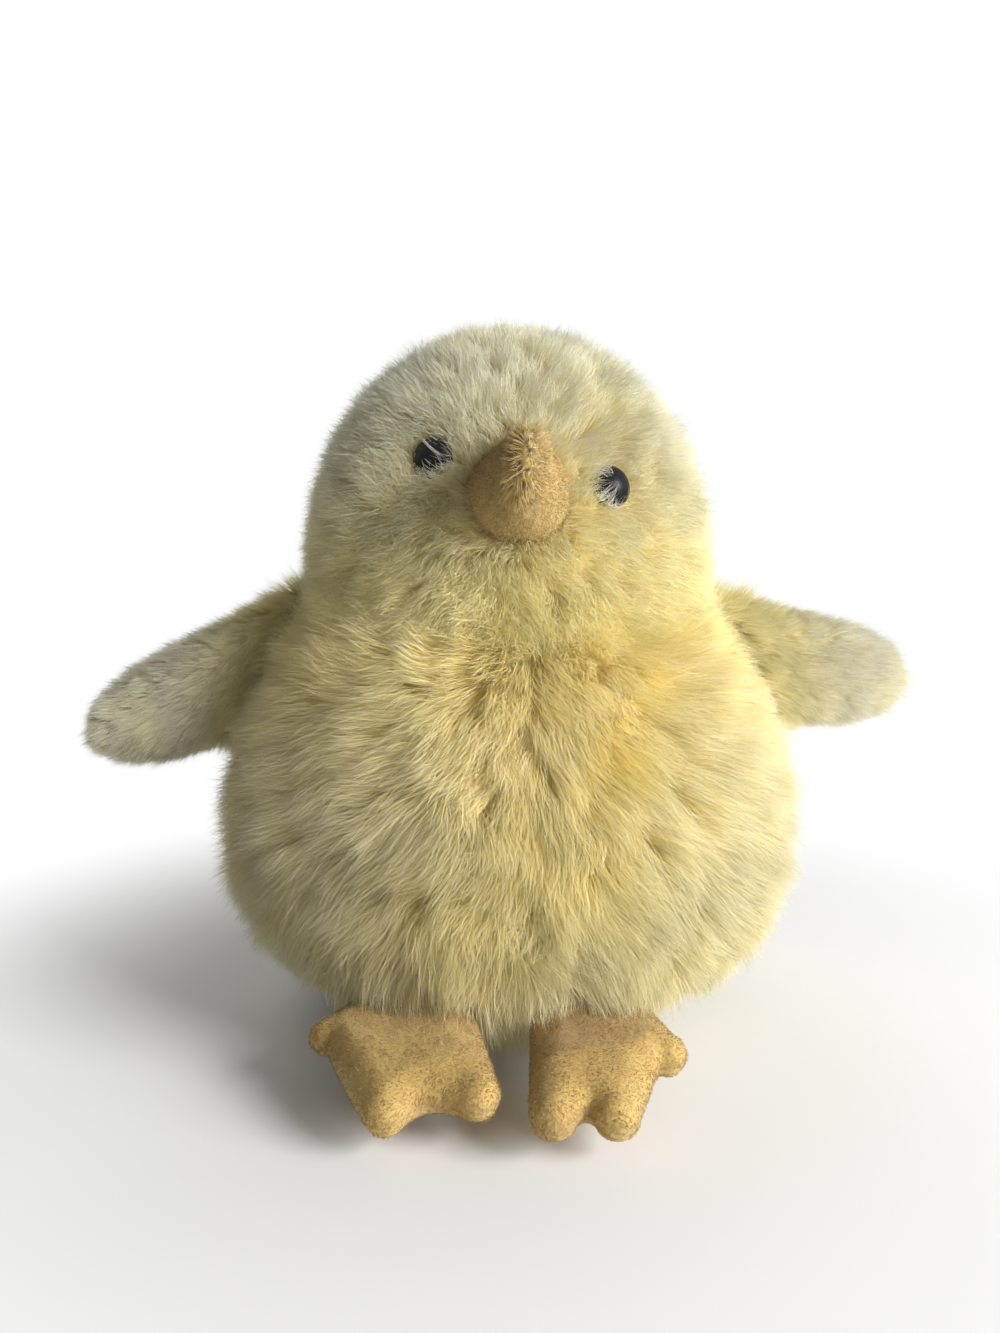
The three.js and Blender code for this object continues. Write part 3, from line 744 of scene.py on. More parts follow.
beak = {
    "elevation": 17.0, "radius": 9.0, "length": 19.0, "fullness": 1.5, "height": 0.9, "cover": 1.2,
    "sunk": 0.6, "around": 72, "along": 40, "tipStop": 0.985, "lump": 0.35, "lumpScale": 0.16,
    "pinch": 0.5, "inset": 0.5,
    "ridgeHalf": 2.0, "ridgeLow": -7.0, "ridgeFade": 3.0, "ridgeNap": 1.7, "ridgeCover": 0.5, "keel": 0.5,
    "nap": 0.45, "lean": 1.0, "combFrom": 40.0, "fill": 0.8, "behind": 20.0, "rim": 2.2, "rimFade": 1.2,
    "overlap": 2.5, "overlapLean": 0.5, "overlapLength": 0.8,
}
eye = {
    "azimuth": 28.2, "elevation": 23.7, "radius": 3.6, "dome": 3.0, "shank": 1.3, "shankLength": 7.0,
    "seat": 0.3, "around": 48, "rings": 14, "topStop": 0.99, "sharp": 50.0, "bare": 3.4, "bareFade": 0.8,
    "shortPile": 0.7, "shortFrom": 3.0, "shortFade": 6.0,
}
beakFrame = faceFrame(faceDirection(0, beak["elevation"]), head["pile"] + head["backing"])
eyeFrames = {name: faceFrame(faceDirection(side * eye["azimuth"], eye["elevation"]), head["pile"])
             for side, name in ((1, "left"), (-1, "right"))}


def placeOrder(place):  # for sorting, coarse enough to come out alike in every run
    return tuple(round(value, 4) for value in place)


def headSheets():  # cutting leaves faces and corners in chance order, so they are sorted by place
    sheet = bmesh.new()
    bmesh.ops.create_uvsphere(sheet, u_segments=head["around"], v_segments=head["up"], radius=1)
    across = head["radius"] - head["skin"]
    size = np.array([across, across * head["depth"], head["half"] - head["skin"]])
    for vertex in sheet.verts:
        vertex.co = Vector(vertex.co * Vector(size)) + headCentre
    cuts = [((0, 0, egg["neck"] + egg["seam"] / 2), (0, 0, 1), True)]
    for place, facing in (((0, 0, 0), (1, 0, 0)), ((head["gussetHalf"], 0, 0), (1, 0, 0)),
                          ((-head["gussetHalf"], 0, 0), (1, 0, 0)), ((0, 0, head["gussetFoot"]), (0, 0, 1))):
        cuts.append((headCentre + headTurn @ Vector(place), headTurn @ Vector(facing), False))
    for place, facing, clear in cuts:
        everything = sheet.verts[:] + sheet.edges[:] + sheet.faces[:]
        bmesh.ops.bisect_plane(sheet, geom=everything, plane_co=place, plane_no=facing, clear_inner=clear)
    found = {"crown": [], "head_left": [], "head_right": []}
    for face in sorted(sheet.faces, key=lambda face: placeOrder(face.calc_center_median())):
        place = headTurn.transposed() @ (face.calc_center_median() - headCentre)
        corners = list(face.verts)
        start = min(range(len(corners)), key=lambda i: placeOrder(corners[i].co))
        corners = corners[start:] + corners[:start]
        if abs(place.x) < head["gussetHalf"] and place.z > head["gussetFoot"]:
            found["crown"].append(corners)
        else:
            found["head_left" if place.x > 0 else "head_right"].append(corners)
    sheets = {}
    for name, faces in found.items():
        numbers = {}
        for vertex in (vertex for corners in faces for vertex in corners):
            numbers.setdefault(vertex, len(numbers))
        points = np.array([vertex.co for vertex in numbers])
        normals = unit((points - np.array(headCentre)) / size ** 2)
        byNeck = bounded(1 - (points[:, 2:] - egg["neck"]) / head["neckFade"])
        points = points + normals * (head["skin"] - head["neckPile"]) * byNeck ** 2 * np.array([1, 1, 0])
        sheets[name] = points, normals, [[numbers[vertex] for vertex in corners] for corners in faces]
    sheet.free()
    return sheets


headNodes = {"crown": "crown_gusset", "head_left": "head_left_panel", "head_right": "head_right_panel"}
for seed, (name, (points, normals, faces)) in enumerate(headSheets().items()):
    cover = meshPiece(f"{name}_cover", *shell(points, normals, faces, head["backing"]))
    local = (points - np.array(beakFrame.translation)) @ np.array(beakFrame.to_3x3())
    fromBeak = np.hypot(local[:, 0], local[:, 1] / beak["height"]) - beak["radius"]
    fromBeak[local[:, 2] < -beak["behind"]] = np.inf
    fromEye = np.min([distanceTo(points, place.translation) for place in eyeFrames.values()], 0)
    kept = bounded((fromBeak + beak["rim"]) / beak["rimFade"])
    kept *= bounded((fromEye - eye["bare"]) / eye["bareFade"])
    byEye = bounded(1 - (fromEye - eye["shortFrom"]) / eye["shortFade"])
    byBeak = bounded(1 - fromBeak / beak["overlap"])
    pile = (combFrom(points, normals, beakFrame.translation, head["hang"], head["calm"]),
            head["length"] * blend(1, eye["shortPile"], byEye) * blend(1, beak["overlapLength"], byBeak),
            blend(head["lean"], beak["overlapLean"], byBeak))
    pile = toNeck(points, normals, pile, head)
    pile = toShoulder(points, normals, pile, shoulder["headLength"])
    furnish(cover, pile, kept)
    growPile(cover, dict(headPile, seed=headPile["seed"] + seed), headCloth, headStrands)
    wear(cover, "body", headNodes[name])
print("head covers", pieceCount)


# suede: beak and feet

suedeGrain = {
    "cloudFrom": (0.38, 0.66), "fineScale": 1500.0, "fineFrom": (0.45, 0.8), "fineStrength": 0.5,
    "streakScale": 900.0, "streakFrom": (0.5, 0.75), "streakStrength": 0.45, "stainFrom": (0.56, 0.74),
    "rootDarkeningFrom": (0.3, 0.6), "rootDarkeningShare": (0.3, 1.0), "speckScale": 420.0, "speckFrom": (0.035, 0.06),
    # the pit values paint shade into the hollows between the curls of nap along a ridge
    "speckColour": (0.05, 0.035, 0.02), "pitShadeScale": 700.0, "pitShadeFrom": (0.44, 0.56),
    "pitShadeColour": (0.1, 0.06, 0.02), "bump": 0.35, "depth": 0.0003,
}


def suedeGroup():  # worn, streaked by its nap, stained, specked, darker and browner towards the roots of the feet, and with painted shade in the pits along a ridge
    inputs = {"colour": "Color", "worn": "Color", "shade": "Color", "light": "Color", "stain": "Color",
              "cloudScale": "Float", "stainScale": "Float", "stainStrength": "Float", "speck": "Float",
              "nap": "Vector"}
    tree, given = newGroup("suede", inputs, {"colour": "Color", "normal": "Vector"})
    place = objectPlace(tree)
    cloud = noisy(place, given["cloudScale"], 4.0, 0.6)
    fine = noisy(place, suedeGrain["fineScale"], 3.0, 0.7)
    streak = streaky(place, given["nap"], suedeGrain["streakScale"], 2.0)
    tone = mixed(ranged(cloud, *suedeGrain["cloudFrom"]), given["colour"], given["worn"])
    streaks = ranged(streak, *suedeGrain["streakFrom"], 0.0, suedeGrain["streakStrength"])
    tone = mixed(streaks, tone, given["shade"])
    tone = mixed(ranged(fine, *suedeGrain["fineFrom"], 0.0, suedeGrain["fineStrength"]), tone, given["light"])
    stain = noisy(place, given["stainScale"], 3.0, 0.65)
    tone = mixed(ranged(stain, *suedeGrain["stainFrom"], 0.0, given["stainStrength"]), tone, given["stain"])
    # darker and browner towards the root of a foot, in blotches
    rootDarkening = ranged(cloud, *suedeGrain["rootDarkeningFrom"], *suedeGrain["rootDarkeningShare"])
    tone = mixed(maths("MULTIPLY", ownValue(tree, "rootDarkening"), rootDarkening), tone, given["stain"])
    speck = put(tree, "ShaderNodeTexVoronoi", place, suedeGrain["speckScale"])
    speck = ranged(speck, *suedeGrain["speckFrom"], given["speck"], 0.0)
    tone = mixed(speck, tone, suedeGrain["speckColour"])
    # painted shade: the hollows between the curls of nap along the ridge are painted dark
    pitShade = ranged(noisy(place, suedeGrain["pitShadeScale"], 2.0, 0.5), *suedeGrain["pitShadeFrom"])
    tone = mixed(maths("MULTIPLY", pitShade, ownValue(tree, "ridge")), tone, suedeGrain["pitShadeColour"])
    bump = bumpy(maths("ADD", fine, streak), suedeGrain["bump"], suedeGrain["depth"])
    return giveOut(tree, colour=tone, normal=bump)


suedeCloth = suedeGroup()


def suedeMaterial(name, look):
    material, found = groupMaterial(name, suedeCloth, look)
    shader = principled(found["colour"], Roughness=0.9, Sheen_Weight=0.25, Sheen_Roughness=0.5,
                        Normal=found["normal"])
    return finish(material, shader)


napShade = {"light": (0.75, 1.15), "glow": 0.35}


def napGroup():
    tree, given = newGroup("nap", {"colour": "Color", "tip": "Color"}, {"colour": "Color"})
    light = ranged(ownValue(tree, "tint"), -1.0, 1.0, *napShade["light"])
    tone = mixed(ownValue(tree, "along"), given["colour"], given["tip"])
    return giveOut(tree, colour=lit(tone, light))


napColour = napGroup()


def napMaterial(name, colour, tip):
    material, found = groupMaterial(name, napColour, {"colour": colour, "tip": tip})
    shader = fibreShader(found["colour"], napShade["glow"], Roughness=0.8, Specular_IOR_Level=0.25)
    return finish(material, shader)


def lumpy(points, normals, height, scale):
    return points + normals * np.array([[height * noise.noise(Vector(point) * scale)] for point in points])


beakLook = {
    "colour": (0.54, 0.4, 0.14), "worn": (0.45, 0.31, 0.1), "shade": (0.36, 0.23, 0.08),
    "light": (0.74, 0.59, 0.3), "stain": (0.3, 0.17, 0.06), "cloudScale": 90.0, "stainScale": 160.0,
    "stainStrength": 0.5, "speck": 0.6, "nap": (1.0, 1.0, 0.3),
}
beakPile = dict(
    bodyPile, density=16.0e6, underDensity=4.0e6, underShare=0.6, lockSpacing=0.0012, clump=0.6, lockTurn=1.5,
    ownTurn=0.6, lockLean=0.5, ownLean=0.2, lengthSpread=0.4, frizz=0.0016, frizzScale=1300.0, flow=0.3,
    flowScale=120.0, roll=0.8, lowest=0.0, seed=31,
)
beakSuede = suedeMaterial("beak_suede_cloth", beakLook)
beakNap = napMaterial("beak_suede_nap", (0.44, 0.3, 0.1), (0.76, 0.61, 0.32))

share = np.sin(np.linspace(0, beak["tipStop"], beak["along"]) * math.pi / 2)
radius = (beak["radius"] - beak["inset"]) * np.sqrt(1 - share ** beak["fullness"])
height = np.append(-beak["sunk"], share * (beak["length"] - beak["inset"]))
radius = np.append(radius[0], radius)
wide = radius * (1 - beak["pinch"] * bounded(height / height[-1]))
tall = radius * beak["height"]
angles = np.linspace(0, 2 * math.pi, beak["around"], endpoint=False)
across, upright = np.cos(angles), np.sin(angles)
slope = -np.outer(np.gradient(wide, height) / wide, across ** 2)
slope -= np.outer(np.gradient(tall, height) / tall, upright ** 2)
points = ringPoints(wide, tall, height, angles)
normals = unit(np.stack([np.outer(1 / wide, across), np.outer(1 / tall, upright), slope], -1)).reshape(-1, 3)
faces = gridFaces(len(radius), len(angles), closed=True)
faces.append(list(range(len(points) - len(angles), len(points))))
points = lumpy(points, normals, beak["lump"], beak["lumpScale"])
onRidge = np.exp(-(points[:, 0] / beak["ridgeHalf"]) ** 2)
onRidge *= bounded((points[:, 1] - beak["ridgeLow"]) / beak["ridgeFade"])
points += normals * onRidge[:, None] * beak["keel"]
turn, origin = axesOf(beakFrame)
points, normals = points @ turn.T + origin, normals @ turn.T
cover = meshPiece("beak_suede", *shell(points, normals, faces, beak["cover"]))
# the ridge mask also places the painted shade in its pits
keepValues(cover, "ridge", np.concatenate([onRidge, onRidge]))
pile = (combFrom(points, normals, beakFrame @ Vector((0, 0, beak["combFrom"])), 0.0, 1.0),
        beak["nap"] + beak["ridgeNap"] * onRidge, np.full(len(points), beak["lean"]))
furnish(cover, pile, blend(1, beak["ridgeCover"], onRidge))
growPile(cover, beakPile, beakSuede, beakNap)
wear(cover, "body", "beak_cover")
print("beak", pieceCount["beak_suede"])


# eyes: polished domes on shanks

gloss = {"dustScale": 1800.0, "dullFrom": (0.4, 0.75), "roughness": (0.3, 0.5), "dustFrom": (0.6, 0.8),
         "dustStrength": 0.25, "black": (0.006, 0.006, 0.008), "dust": (0.05, 0.045, 0.035)}


def glossMaterial():
    material, place = newSurface("eye_gloss_black")
    dust = noisy(place, gloss["dustScale"], 4.0, 0.7)
    rough = ranged(dust, *gloss["dullFrom"], *gloss["roughness"])
    tone = mixed(ranged(dust, *gloss["dustFrom"], 0.0, gloss["dustStrength"]), gloss["black"], gloss["dust"])
    return finish(material, principled(tone, Roughness=rough, Specular_IOR_Level=0.14))


eyeGloss = glossMaterial()
for name, place in eyeFrames.items():
    bow = np.linspace(0, eye["topStop"], eye["rings"]) * math.pi / 2
    radius = np.concatenate([[eye["shank"], eye["shank"]], eye["radius"] * np.cos(bow)])
    height = np.concatenate([[-eye["shankLength"], eye["seat"]], eye["seat"] + eye["dome"] * np.sin(bow)])
    angles = np.linspace(0, 2 * math.pi, eye["around"], endpoint=False)
    points = ringPoints(radius, radius, height, angles)
    faces = gridFaces(len(radius), len(angles), closed=True)
    faces += [list(range(len(angles)))[::-1], list(range(len(points) - len(angles), len(points)))]
    turn, origin = axesOf(place)
    button = meshPiece(f"{name}_eye_button", points @ turn.T + origin, faces)
    button.data.set_sharp_from_angle(angle=math.radians(eye["sharp"]))
    button.data.materials.append(eyeGloss)
    wear(button, "body", f"{name}_eye")

strays = {  # a lock across one eye, and fuzz that reaches in over the rims
    "lockEye": "right", "lockPath": ((-3.6, 4.2), (-1.8, 0.8), (2.6, -0.7)), "lockCount": 16,
    "lockSpread": 0.2, "lockWidth": 0.13,
    "rims": (  # which eye, from and to which angle, how many and how far in
        ("right", 190, 350, 60, 1.1), ("right", 20, 110, 36, 0.9),
        ("left", 120, 165, 22, 2.6), ("left", 215, 265, 26, 3.2), ("left", 230, 290, 18, 1.3)),
    "rimWidth": 0.075, "rimSpread": 0.12, "rimCurl": (0, 0.1, 0.25), "overRim": 0.3, "shortest": 0.4,
    "steps": 8, "seed": 7, "lowest": 1.2, "clear": 0.15, "clearSpread": 0.2,
}


def strayHairs():  # loose hairs that lie across the eyes
    chance = np.random.default_rng(strays["seed"])
    paths = []
    for _ in range(strays["lockCount"]):
        path = [np.array(spot) + chance.normal(0, strays["lockSpread"], 2) for spot in strays["lockPath"]]
        paths.append((strays["lockEye"], strays["lockWidth"], path))
    for name, low, high, count, deep in strays["rims"]:
        for turn in np.radians(chance.uniform(low, high, count)):
            ends = turn + chance.normal(0, strays["rimSpread"], 3)
            ends = ends + np.array(strays["rimCurl"]) * chance.choice((-1, 1))
            inward = np.linspace(0, 1, 3) * deep * chance.uniform(strays["shortest"], 1)
            reach = eye["radius"] + strays["overRim"] - inward
            path = np.column_stack([np.cos(ends), np.sin(ends)]) * reach[:, None]
            paths.append((name, strays["rimWidth"], path))
    points, faces = [], []
    steps = strays["steps"]
    share = np.linspace(0, 1, steps)[:, None]
    for name, width, (first, middle, last) in paths:
        turn, origin = axesOf(eyeFrames[name])
        path = (1 - share) ** 2 * first + 2 * share * (1 - share) * middle + share ** 2 * last
        course = unit(np.gradient(path, axis=0))
        aside = np.stack([-course[:, 1], course[:, 0]], -1) * width / 2 * (1 - share ** 2)
        for edge in (path - aside, path + aside):
            dome = np.sqrt(np.maximum(0, 1 - (edge ** 2).sum(1) / eye["radius"] ** 2))
            rise = np.maximum(eye["seat"] + eye["dome"] * dome, strays["lowest"])
            rise = rise + strays["clear"] + chance.uniform(0, strays["clearSpread"])
            points.append(np.column_stack([edge, rise]) @ turn.T + origin)
        low = (len(points) - 2) * steps
        faces += [[low + i, low + steps + i, low + steps + i + 1, low + i + 1] for i in range(steps - 1)]
    return np.vstack(points), faces


hairs = meshPiece("eye_stray_hairs", *strayHairs())
keepValues(hairs, "along", np.ones(len(hairs.data.vertices)))
hairs.data.materials.append(headStrands)
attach(hairs, "body")
print("eyes and stray hairs", len(hairs.data.polygons))


# padded limbs swell between their seams

swell = {"scale": 20.0, "frames": 20, "pressure": 4.0, "slack": 0.03, "mass": 0.3, "bending": 0.6,
         "settle": 12, "seamHeight": 0.2}


# a sewn sheet under pressure, its seam held, each point moved no more than most
def puffed(points, faces, seam, most):
    sheet = meshPiece("swelling", points * swell["scale"], faces)
    sheet.vertex_groups.new(name="seam").add(np.flatnonzero(seam).tolist(), 1.0, "REPLACE")
    cloth = sheet.modifiers.new("cloth", "CLOTH")
    cloth.settings.mass = swell["mass"]
    cloth.settings.bending_stiffness = swell["bending"]
    cloth.settings.use_pressure = True
    cloth.settings.uniform_pressure_force = swell["pressure"]
    cloth.settings.shrink_min = -swell["slack"]
    cloth.settings.effector_weights.gravity = 0
    cloth.settings.vertex_group_mass = "seam"
    cloth.point_cache.frame_start, cloth.point_cache.frame_end = 1, swell["frames"]
    for number in range(1, swell["frames"] + 1):
        bpy.context.scene.frame_set(number)
    moved = sheet.evaluated_get(bpy.context.evaluated_depsgraph_get()).data
    found = np.array([vertex.co for vertex in moved.vertices]) / (mm * swell["scale"])
    bpy.context.scene.frame_set(1)
    bpy.data.objects.remove(sheet)
    shift = found - points
    edges = [(a, b) for face in faces for a, b in zip(face, face[1:] + face[:1])]
    pairs = np.unique(np.sort(edges, axis=1), axis=0)
    beside = np.bincount(pairs.ravel(), minlength=len(points))[:, None]
    for _ in range(swell["settle"]):  # smooths the small wrinkles away
        mean = np.zeros_like(shift)
        np.add.at(mean, pairs[:, 0], shift[pairs[:, 1]])
        np.add.at(mean, pairs[:, 1], shift[pairs[:, 0]])
        shift = np.where(seam[:, None], 0, (shift + mean / beside) / 2)
    size = np.maximum(np.linalg.norm(shift, axis=1, keepdims=True), 1e-9)
    return points + shift * np.minimum(1, most / size)


def sheetNormals(points, faces):
    mesh = bpy.data.meshes.new("sheet")
    mesh.from_pydata(points.tolist(), [], faces)
    mesh.update()
    found = np.zeros(len(points) * 3, np.float32)
    mesh.vertex_normals.foreach_get("vector", found)
    bpy.data.meshes.remove(mesh)
    return found.reshape(-1, 3).astype(float)


def paddedSheet(points, faces, half, look):  # faces out on its own half, and swells away from its seam
    if (sheetNormals(points, faces)[:, 2] * half).sum() < 0:
        faces = [face[::-1] for face in faces]
    points = puffed(points, faces, points[:, 2] * half < swell["seamHeight"], look["puff"])
    return points, sheetNormals(points, faces), faces


# wings: padded paddles with a short smooth pile

wing = {
    "length": 34.0, "halfWidth": 11.0, "taper": 2.0, "halfThickness": 5.0, "peak": 0.45, "tipFullness": 5.0,
    "tipStop": 0.97, "seamTilt": 24.0, "unskew": 0.7, "rootSquare": 2.0, "rootHalf": 1.2, "pile": 1.3,
    "backing": 0.8, "around": 26, "along": 34, "pileLength": 3.4, "rootLength": 5.5, "rootReach": 6.0,
    "lean": 1.05, "rootLean": 0.8, "rootGold": 0.65, "goldReach": 10.0, "rootSink": 4.0,
    "lump": 0.2, "lumpScale": 0.11, "puff": 0.8, "fill": 0.8,
}
posture = {  # tuck is how far the cloth ends short of the pile at the tip
    "left": {"side": 1, "droop": 8.5, "sweep": 12.0, "tuck": 2.5},
    "right": {"side": -1, "droop": 23.0, "sweep": -8.0, "tuck": 0.0},
}
wingPile = dict(
    headPile, density=13.0e6, steps=3, clump=0.2, lockTurn=0.35, ownTurn=0.35, lockLean=0.12, ownLean=0.16,
    frizz=0.0009, flow=0.25, flowScale=90.0, seed=51,
)
wingLook = {"root": (0.89, 0.83, 0.6), "middle": (0.89, 0.86, 0.71), "tip": (0.88, 0.87, 0.79),
            "golden": (0.95, 0.88, 0.5), "patchScale": 50.0, "patchStrength": 0.25, "glow": 0.45}
wingStrands = pileMaterial("wing_pile_strands", wingLook)
wingCloth = clothMaterial("wing_pile_cloth", (0.9, 0.84, 0.62), (0.86, 0.78, 0.54))


def wingFrame(name):
    side, droop, sweep = (posture[name][key] for key in ("side", "droop", "sweep"))
    tilt, droop = math.radians(wing["seamTilt"]), math.radians(droop)
    along = Vector((side * math.cos(droop), 0, -math.sin(droop)))
    across = Vector((side * math.sin(droop), 0, math.cos(droop)))
    seam = Vector((-side * math.sin(tilt), 0, math.cos(tilt)))
    turn = Matrix.Rotation(side * math.radians(sweep), 3, seam)
    found = (turn @ Matrix((along, across, along.cross(across))).transposed()).to_4x4()
    found.translation = Vector(joints[f"{name}_wing_seam"]["pos_m"]) / mm
    return found


def wingSheet(skew, half, tuck):  # one face of the wing, its edge at both sides
    inset = wing["pile"]
    share = np.sin(np.linspace(0, wing["tipStop"], wing["along"]) * math.pi / 2)
    close = np.sqrt(1 - share ** wing["tipFullness"])
    plump = np.sin(np.minimum(1, share / wing["peak"]) * math.pi / 2)
    thick = blend(wing["rootHalf"], wing["halfThickness"] - inset, plump) * close
    wide = (wing["halfWidth"] - inset - wing["taper"] * share) * close
    rows = []
    reaches = np.append(-wing["rootSink"], (wing["length"] - inset - tuck) * share)
    for reach, width, depth in zip(reaches, np.append(wide[0], wide), np.append(thick[0], thick)):
        nearRoot = bounded(1 - reach / (wing["unskew"] * wing["length"]))
        lean, power = skew * nearRoot, 2 / (2 + wing["rootSquare"] * nearRoot)
        angles = np.linspace(0, math.pi, wing["around"])
        across = width / math.cos(lean) * np.sign(np.cos(angles)) * np.abs(np.cos(angles)) ** power
        rows.append(np.stack([reach - across * math.sin(lean), across * math.cos(lean),
                              half * depth * np.maximum(np.sin(angles), 0) ** power], -1))
    return np.array(rows)


for name, stance in posture.items():
    turn, origin = axesOf(wingFrame(name))
    skew = math.radians(wing["seamTilt"] + stance["droop"])
    for half, facing in ((stance["side"], "front"), (-stance["side"], "back")):
        rows = wingSheet(skew, half, stance["tuck"])
        reach = np.repeat(rows[:, :, 0].mean(1), wing["around"])
        faces = gridFaces(len(rows), wing["around"])
        points, normals, faces = paddedSheet(rows.reshape(-1, 3), faces, half, wing)
        points = lumpy(points, normals * np.array([0, 0, 1]), wing["lump"], wing["lumpScale"])
        cover = meshPiece(f"{name}_wing_{facing}_cover",
                          *shell(points @ turn.T + origin, normals @ turn.T, faces, wing["backing"]))
        nearRoot = bounded(1 - reach / wing["rootReach"])
        pile = (alongCloth(np.array((1.0, 0.0, 0.0)), normals) @ turn.T,
                blend(wing["pileLength"], wing["rootLength"], nearRoot),
                blend(wing["lean"], wing["rootLean"], nearRoot))
        gold = wing["rootGold"] * np.exp(-(np.maximum(reach, 0) / wing["goldReach"]) ** 2)
        furnish(cover, pile, np.ones(len(points)), np.concatenate([gold, gold]))
        growPile(cover, dict(wingPile, seed=wingPile["seed"] + half), wingCloth, wingStrands)
        wear(cover, f"{name}_wing", f"{name}_wing_{facing}_panel")
print("wing covers", pieceCount)


# feet: webbed suede pads

foot = {
    "halfThickness": 3.0, "rootHalfWidth": 8.5, "ramp": 9.0, "edge": 3.6, "cover": 1.0, "slope": 15.0,
    "rootHalf": 1.2, "toeRadius": 3.3, "toeReaches": (14.0, 21.0, 23.0), "toeArc": 75.0, "toePoints": 16,
    "webDepth": 0.76, "webPoints": 14, "rootSink": 6.0, "step": 0.75, "edgeStep": 0.7, "rowStep": 0.87,
    "edgeClear": 0.6, "nap": 0.4, "lean": 1.2, "lump": 0.15, "lumpScale": 0.16, "puff": 0.8,
    "rootDarkening": 0.55, "rootDarkeningReach": 7.0, "fill": 0.7,
}
toeAngles = {"left": (45, -11, -36), "right": (62, -15, -53)}
footLook = dict(beakLook, colour=(0.56, 0.39, 0.12), worn=(0.47, 0.3, 0.09), light=(0.68, 0.51, 0.22),
                cloudScale=70.0, stainScale=60.0, speck=0.2, nap=(1.0, 0.3, 1.0))
footPile = dict(beakPile, density=12.0e6, steps=2, lockSpacing=0.0016, clump=0.3, frizz=0.0004, lowest=0.0002,
                seed=41)
footSuede = suedeMaterial("foot_suede_cloth", footLook)
footNap = napMaterial("foot_suede_nap", (0.5, 0.33, 0.1), (0.7, 0.54, 0.25))


def footOutline(angles, outer):  # toes are arcs, and the webs between them curves
    def spot(angle, distance):
        return np.array([outer * distance * math.sin(angle), distance * math.cos(angle)])

    path = [np.array([outer * foot["rootHalfWidth"], -foot["rootSink"]])]
    for number, (degrees, toe) in enumerate(zip(angles, foot["toeReaches"])):
        angle = math.radians(degrees)
        tip = spot(angle, toe - foot["toeRadius"])
        middle, swing = math.pi / 2 - outer * angle, outer * math.radians(foot["toeArc"])
        arc = [tip + foot["toeRadius"] * np.array([math.cos(a), math.sin(a)])
               for a in np.linspace(middle - swing, middle + swing, foot["toePoints"])]
        if number:
            mean = (toe + foot["toeReaches"][number - 1]) / 2
            web = spot(math.radians((degrees + angles[number - 1]) / 2), foot["webDepth"] * mean)
            for t in np.linspace(0, 1, foot["webPoints"])[1:-1]:
                path.append((1 - t) ** 2 * lastSpot + 2 * t * (1 - t) * web + t * t * arc[0])
        path += arc
        lastSpot = arc[-1]
    path.append(np.array([-outer * foot["rootHalfWidth"], -foot["rootSink"]]))
    closed = np.array(path + path[:1])
    gone = np.concatenate([[0], np.cumsum(np.linalg.norm(np.diff(closed, axis=0), axis=1))])
    marks = np.linspace(0, gone[-1], int(gone[-1] / (foot["edgeStep"] * foot["step"])), endpoint=False)
    return np.stack([np.interp(marks, gone, closed[:, 0]), np.interp(marks, gone, closed[:, 1])], -1)


def footPad(name):  # points and triangles of the top sheet, in the foot's own frame
    outline = footOutline(toeAngles[name], -posture[name]["side"])
    tree = KDTree(len(outline))
    for number, spot in enumerate(outline):
        tree.insert((*spot, 0), number)
    tree.balance()
    low, high = outline.min(0), outline.max(0)
    spots = [Vector(spot) for spot in outline]
    for row, y in enumerate(np.arange(low[1], high[1], foot["step"] * foot["rowStep"])):
        for x in np.arange(low[0] + (row % 2) * foot["step"] / 2, high[0], foot["step"]):
            if tree.find((x, y, 0))[2] > foot["edgeClear"] * foot["step"]:
                spots.append(Vector((x, y)))
    found = delaunay_2d_cdt(spots, [], [list(range(len(outline)))], 1, 1e-5)
    used = sorted({i for face in found[2] for i in face})
    numbers = {old: new for new, old in enumerate(used)}
    flat = np.array([tuple(found[0][i]) for i in used])
    depth = np.array([tree.find((*spot, 0))[2] for spot in flat])
    half = blend(foot["rootHalf"], foot["halfThickness"], bounded(flat[:, 1] / foot["ramp"]))
    rise = half * np.sqrt(1 - (1 - bounded(depth / foot["edge"])) ** 2)
    return np.column_stack([flat, rise]), [[numbers[i] for i in face] for face in found[2]]


def footFrame(name):
    axis = Vector(joints[f"{name}_foot_seam"]["axis"])
    ahead = Vector((-axis.y, axis.x, 0))
    slope = math.radians(foot["slope"])
    along = ahead * math.cos(slope) - Vector((0, 0, math.sin(slope)))
    rise = ahead * math.sin(slope) + Vector((0, 0, math.cos(slope)))
    found = Matrix((along.cross(rise), along, rise)).transposed().to_4x4()
    found.translation = Vector(joints[f"{name}_foot_seam"]["pos_m"]) / mm
    return found


for name in posture:
    turn, origin = axesOf(footFrame(name))
    sheet, triangles = footPad(name)
    for half, facing in ((1, "upper"), (-1, "sole")):
        points, normals, faces = paddedSheet(sheet * np.array([1, 1, half]), triangles, half, foot)
        lumps = normals * np.array([0, 0, 1]) * (sheet[:, 2:] / foot["halfThickness"])
        points = lumpy(points, lumps, foot["lump"], foot["lumpScale"])
        cover = meshPiece(f"{name}_foot_{facing}_suede",
                          *shell(points @ turn.T + origin, normals @ turn.T, faces, foot["cover"]))
        # darker and browner towards the root of the foot
        rootDarkening = foot["rootDarkening"] * np.exp(-(np.maximum(points[:, 1], 0) / foot["rootDarkeningReach"]) ** 2)
        keepValues(cover, "rootDarkening", np.concatenate([rootDarkening, rootDarkening]))
        level = np.ones(len(points))
        comb = alongCloth(np.array((0.0, 1.0, 0.0)), normals) @ turn.T
        furnish(cover, (comb, foot["nap"] * level, foot["lean"] * level), level)
        growPile(cover, dict(footPile, seed=footPile["seed"] + half), footSuede, footNap)
        wear(cover, f"{name}_foot", f"{name}_foot_{facing}")
print("feet", pieceCount)


# what the covers hold: loose fibre, and the washers behind the eyes

